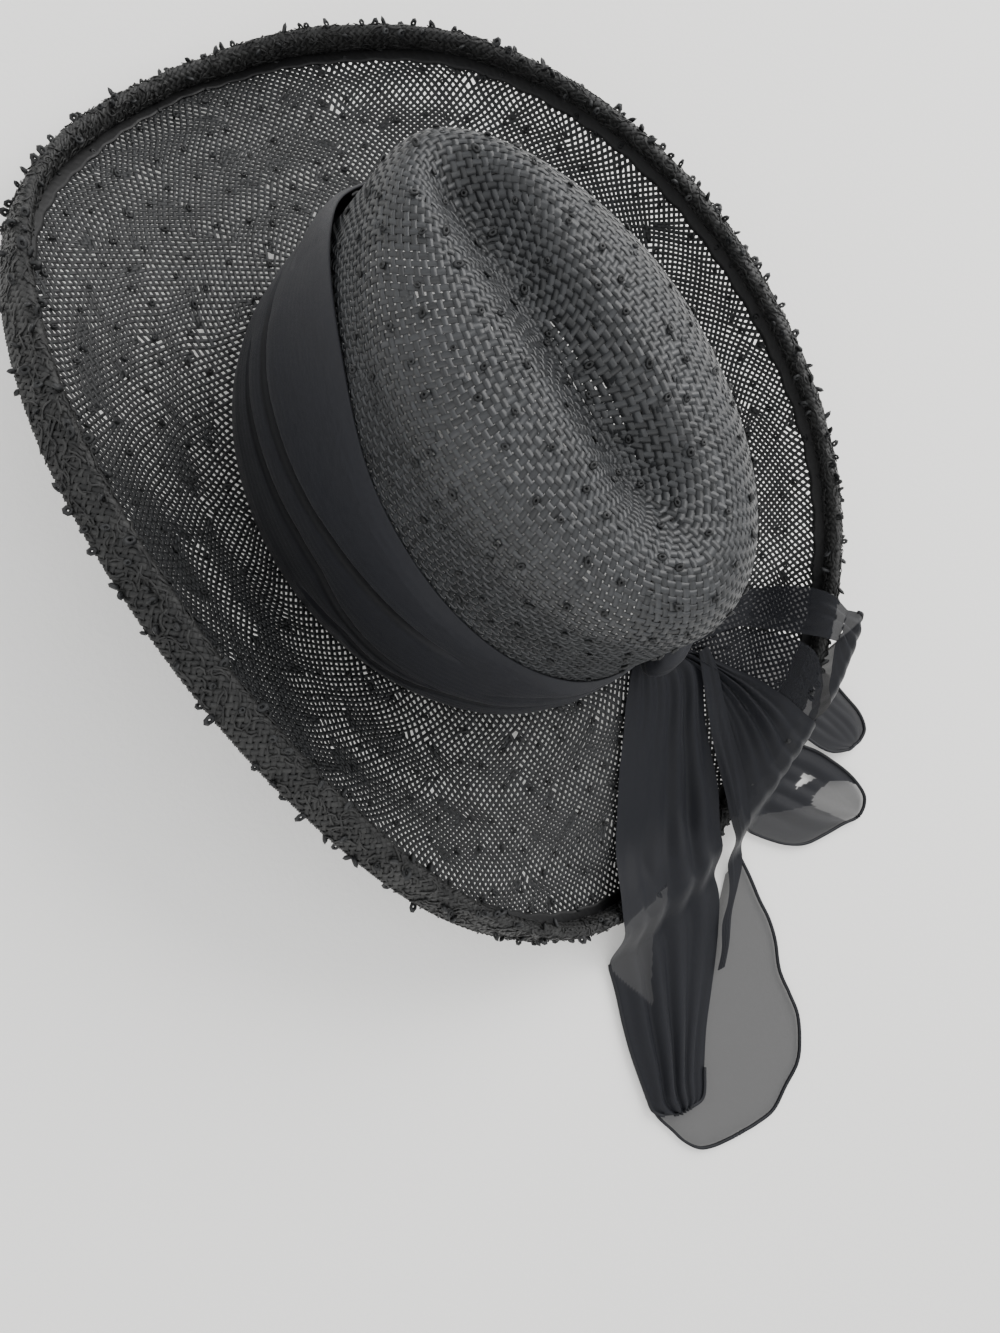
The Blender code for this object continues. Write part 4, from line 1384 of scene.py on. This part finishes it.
def inside_outline(x, y, outline):
    """Mask of the points in plan that lie inside a closed outline."""
    inside = np.zeros(np.shape(x), dtype=bool)
    for (x0, y0), (x1, y1) in zip(outline, outline[1:] + outline[:1]):
        crosses = (y0 > y) != (y1 > y)
        inside ^= crosses & (x < (x1 - x0) * (y - y0) / (y1 - y0 + 1e-12) + x0)
    return inside


def smooth_rows(rows, places):
    """Smooth open curve through rows at places from 0 to 1."""
    rows = np.asarray(rows, dtype=float)
    at = np.clip(places, 0, 1) * (len(rows) - 1)
    row = np.minimum(at.astype(int), len(rows) - 2)
    near = [rows[np.clip(row + offset, 0, len(rows) - 1)] for offset in (-1, 0, 1, 2)]
    return spline(*near, (at - row)[:, None])


# %% The patches of the ends
LONG_BODY = ((-22, 104, -37, 107), (-17, 109, -45, 112), (-10, 117, -50, 119), (-4, 126, -48, 128),
             (6, 140, -42, 141), (16, 157, -37, 157), (26, 172, -32, 171), (37, 187, -24, 187),
             (46, 203, -18, 204), (52, 221, -14, 218), (57, 234, -5, 230), (61, 246, 5, 241),
             (64, 258, 15, 251), (66, 267, 26, 262), (67, 273, 36, 274), (64, 278, 44, 284),
             (60, 281, 51, 284))
LONG_LOBE = ((-22, 214, -33, 211), (-12, 222, -32, 222), (2, 232, -30, 234), (22, 242, -29, 244),
             (42, 250, -26, 254), (58, 258, -20, 266), (66, 266, -18, 278), (66, 272, -16, 288),
             (66, 278, -10, 298), (64, 286, -3, 305), (62, 294, 8, 309), (58, 301, 19, 313),
             (52, 305, 29, 312), (44, 308, 37, 310))
LONG_STRIP = ((-50, 116, -55, 116), (-46, 128, -54, 128), (-40, 148, -48, 150), (-34, 167, -42, 170),
              (-29, 182, -37, 185), (-26, 194, -34, 196), (-25, 205, -34, 207), (-20, 216, -30, 214),
              (-14, 223, -23, 220), (-6, 229, -13, 228), (1, 238, -4, 238), (8, 244, 4, 245))
SHORT_TOP = ((-34, 101, -34, 109), (-50, 100, -50, 112), (-66, 101, -62, 114), (-82, 105, -72, 117),
             (-92, 112, -79, 124), (-98, 121, -86, 133), (-102, 132, -94, 142))
SHORT_MIDDLE = ((-40, 106, -38, 114), (-54, 110, -48, 121), (-66, 114, -56, 129), (-76, 121, -64, 139),
                (-83, 132, -67, 150), (-86, 144, -71, 160), (-84, 156, -75, 171))
SHORT_HANG = ((-102, 132, -92, 143), (-107, 137, -88, 151), (-113, 146, -84, 160), (-119, 157, -86, 169),
              (-124, 171, -91, 179), (-127, 184, -96, 188), (-129, 195, -100, 196), (-127, 203, -105, 202),
              (-121, 206, -113, 206))
SHORT_LOBE = ((-48, 112, -39, 112), (-57, 124, -46, 124), (-65, 137, -50, 137), (-69, 150, -48, 151),
              (-73, 162, -43, 165), (-78, 173, -38, 179), (-88, 185, -35, 191), (-97, 196, -42, 203),
              (-102, 205, -49, 213), (-106, 214, -57, 222), (-108, 222, -66, 228), (-108, 229, -78, 231),
              (-105, 233, -89, 233), (-101, 235, -96, 235))
LONG_WINDOW = [(10, 193), (24, 194), (36, 192), (46, 192), (50, 213), (42, 238), (36, 228), (24, 211)]
SHORT_SINGLE = [(-82, 212), (-95, 212), (-105, 219), (-110, 226), (-104, 236), (-92, 234), (-79, 215)]
SHORT_PEEP = [(-75, 204), (-85, 200), (-90, 207)]
SHORT_DOUBLE = [(-40, 196), (-60, 206), (-79, 215), (-92, 233), (-76, 236), (-56, 226), (-36, 204)]
FOLD_WAVES = 5


def lay_patch(rows, steps, lift, plies, wrinkle, seed):
    """Grid of places and plies of one patch of cloth between its two borders."""
    random = np.random.default_rng(seed)
    along, across = steps
    places = smooth_rows(rows, np.linspace(0, 1, along)) / 1000
    share = np.linspace(0, 1, across)[None, :, None]
    plan = places[:, None, :2] * (1 - share) + places[:, None, 2:] * share
    x, y = plan[..., 0], plan[..., 1]
    z = cloth_height(x, y) + lift
    run = np.linspace(0, 1, along)[:, None] * np.ones((1, across))
    side = share[..., 0] * np.ones((along, 1))
    folds = np.zeros_like(z)
    for _ in range(FOLD_WAVES):
        count = random.uniform(0.8, 3.4)
        drift = random.uniform(-1.1, 1.1)
        strength = random.uniform(0.3, 1.0)
        folds += strength * np.cos(math.tau * (side * count + drift * run + random.uniform()))
    folds = np.abs(folds / 2.4) ** 1.5
    rim_room = np.minimum(1.0, np.minimum(side, 1 - side) * 5)
    z = z + wrinkle * folds * rim_room * (1 - 0.55 * run)
    return points(x, y, z), plies(x * 1000, y * 1000, side)


def cloth_piece(name, patches):
    """One object from the grids of several patches, with its plies and a map in millimetres."""
    verts, quads, uvs, plies = [], [], [], []
    first = 0
    for grid, ply in patches:
        along, across = grid.shape[:2]
        index = (np.arange(along * across) + first).reshape(along, across)
        corners = [index[:-1, :-1], index[:-1, 1:], index[1:, 1:], index[1:, :-1]]
        quads.append(np.stack(corners, axis=-1).reshape(-1, 4))
        verts.append(grid.reshape(-1, 3) + PLAN_MIDDLE)
        plies.append(ply.ravel())
        run = np.cumsum(np.linalg.norm(np.diff(grid, axis=0, prepend=grid[:1]), axis=-1), axis=0)
        side = np.cumsum(np.linalg.norm(np.diff(grid, axis=1, prepend=grid[:, :1]), axis=-1), axis=1)
        uvs.append(np.stack([side, run], axis=-1).reshape(-1, 2) * 1000)
        first += along * across
    quads = np.concatenate(quads)[:, ::-1]
    uv = np.concatenate(uvs)[quads]
    thing = joined_mesh(name, np.concatenate(verts), quads, uv, np.full(first, 0.5), CHIFFON)
    layer = thing.data.attributes.new("plies", 'FLOAT', 'POINT')
    layer.data.foreach_set("value", np.concatenate(plies).astype(np.float32))
    return thing


def even_plies(count):
    """The same number of plies all over a patch."""
    return lambda x, y, side: np.full(x.shape, float(count))


def long_body_plies(x, y, side):
    """Folded cloth all over, but thin in the window near the left border."""
    plies = np.full(x.shape, 5.0)
    plies[inside_outline(x, y, LONG_WINDOW)] = 1.6
    return plies


def short_lobe_plies(x, y, side):
    """Folded cloth that opens into a double and a single layer, and a gap between the folds."""
    plies = np.full(x.shape, 3.4)
    plies[inside_outline(x, y, SHORT_DOUBLE)] = 1.6
    plies[inside_outline(x, y, SHORT_SINGLE)] = 0.9
    plies[inside_outline(x, y, SHORT_PEEP)] = 0.15
    return plies


long_patches = [lay_patch(LONG_LOBE, (90, 70), 0.0010, even_plies(1), 0.0012, 61),
                lay_patch(LONG_BODY, (150, 64), 0.0022, long_body_plies, 0.0042, 62),
                lay_patch(LONG_STRIP, (120, 12), 0.0050, even_plies(3), 0.0020, 63)]
short_patches = [lay_patch(SHORT_MIDDLE, (80, 30), 0.0010, even_plies(1.2), 0.0022, 64),
                 lay_patch(SHORT_LOBE, (120, 64), 0.0018, short_lobe_plies, 0.0036, 65),
                 lay_patch(SHORT_TOP, (80, 26), 0.0030, even_plies(2.2), 0.0026, 66),
                 lay_patch(SHORT_HANG, (100, 40), 0.0030, even_plies(2.4), 0.0022, 67)]
long_end = cloth_piece("scarf_long_end_cloth", long_patches)
short_end = cloth_piece("scarf_short_end_cloth", short_patches)

# %% [markdown]
# ## Rolled hems
# The edges of the scarf are rolled and sewn into a thin dark cord, which draws the outline of
# the sheer cloth. A hem follows the border of a patch, so it is read from the patch's grid.

# %% Hems
HEM_WIDTH = 0.0012
HEM_THICK = 0.0011
HEM_LIFT = 0.0003


def hem_strand(line):
    """A hem that follows a line of a patch's points, a little above them."""
    places = line + PLAN_MIDDLE + UP * HEM_LIFT
    return places, np.tile(UP, (len(line), 1)), np.full(len(line), HEM_WIDTH), False


def hem_beside(grid, side, begin, end):
    """A stretch of a patch's border as a strand: side -1 is its right border, 0 its left one."""
    count = len(grid)
    return hem_strand(grid[int(begin * (count - 1)):int(end * (count - 1)) + 1, side])


def hem_across(grid):
    """The far end of a patch as a strand."""
    return hem_strand(grid[-1])


long_lobe, long_body = long_patches[0][0], long_patches[1][0]
short_lobe, short_hang = short_patches[1][0], short_patches[3][0]
long_hem = ribbons(
    "scarf_long_end_hem",
    [hem_beside(long_lobe, -1, 0.0, 1.0), hem_across(long_lobe), hem_beside(long_lobe, 0, 0.52, 1.0),
     hem_beside(long_body, 0, 0.53, 0.94), hem_across(long_body), hem_beside(long_body, -1, 0.88, 1.0)],
    HEM_CHIFFON, HEM_THICK, seed=71)
short_hem = ribbons(
    "scarf_short_end_hem",
    [hem_beside(short_lobe, 0, 0.5, 1.0), hem_across(short_lobe), hem_beside(short_lobe, -1, 0.5, 1.0),
     hem_beside(short_hang, 0, 0.1, 1.0), hem_across(short_hang), hem_beside(short_hang, -1, 0.45, 1.0)],
    HEM_CHIFFON, HEM_THICK, seed=72)

# %% The laid area of the ends, and the ends joined to the hat's body
for cloth, hem, node in ((long_end, long_hem, "scarf_long_end"), (short_end, short_hem, "scarf_short_end")):
    laid_area = sum(face.area for face in cloth.data.polygons)
    print(cloth.name, "laid area", round(laid_area * 1e4, 1), "square centimetres")
    for piece in (cloth, hem):
        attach(piece, "root")
    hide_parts(node)
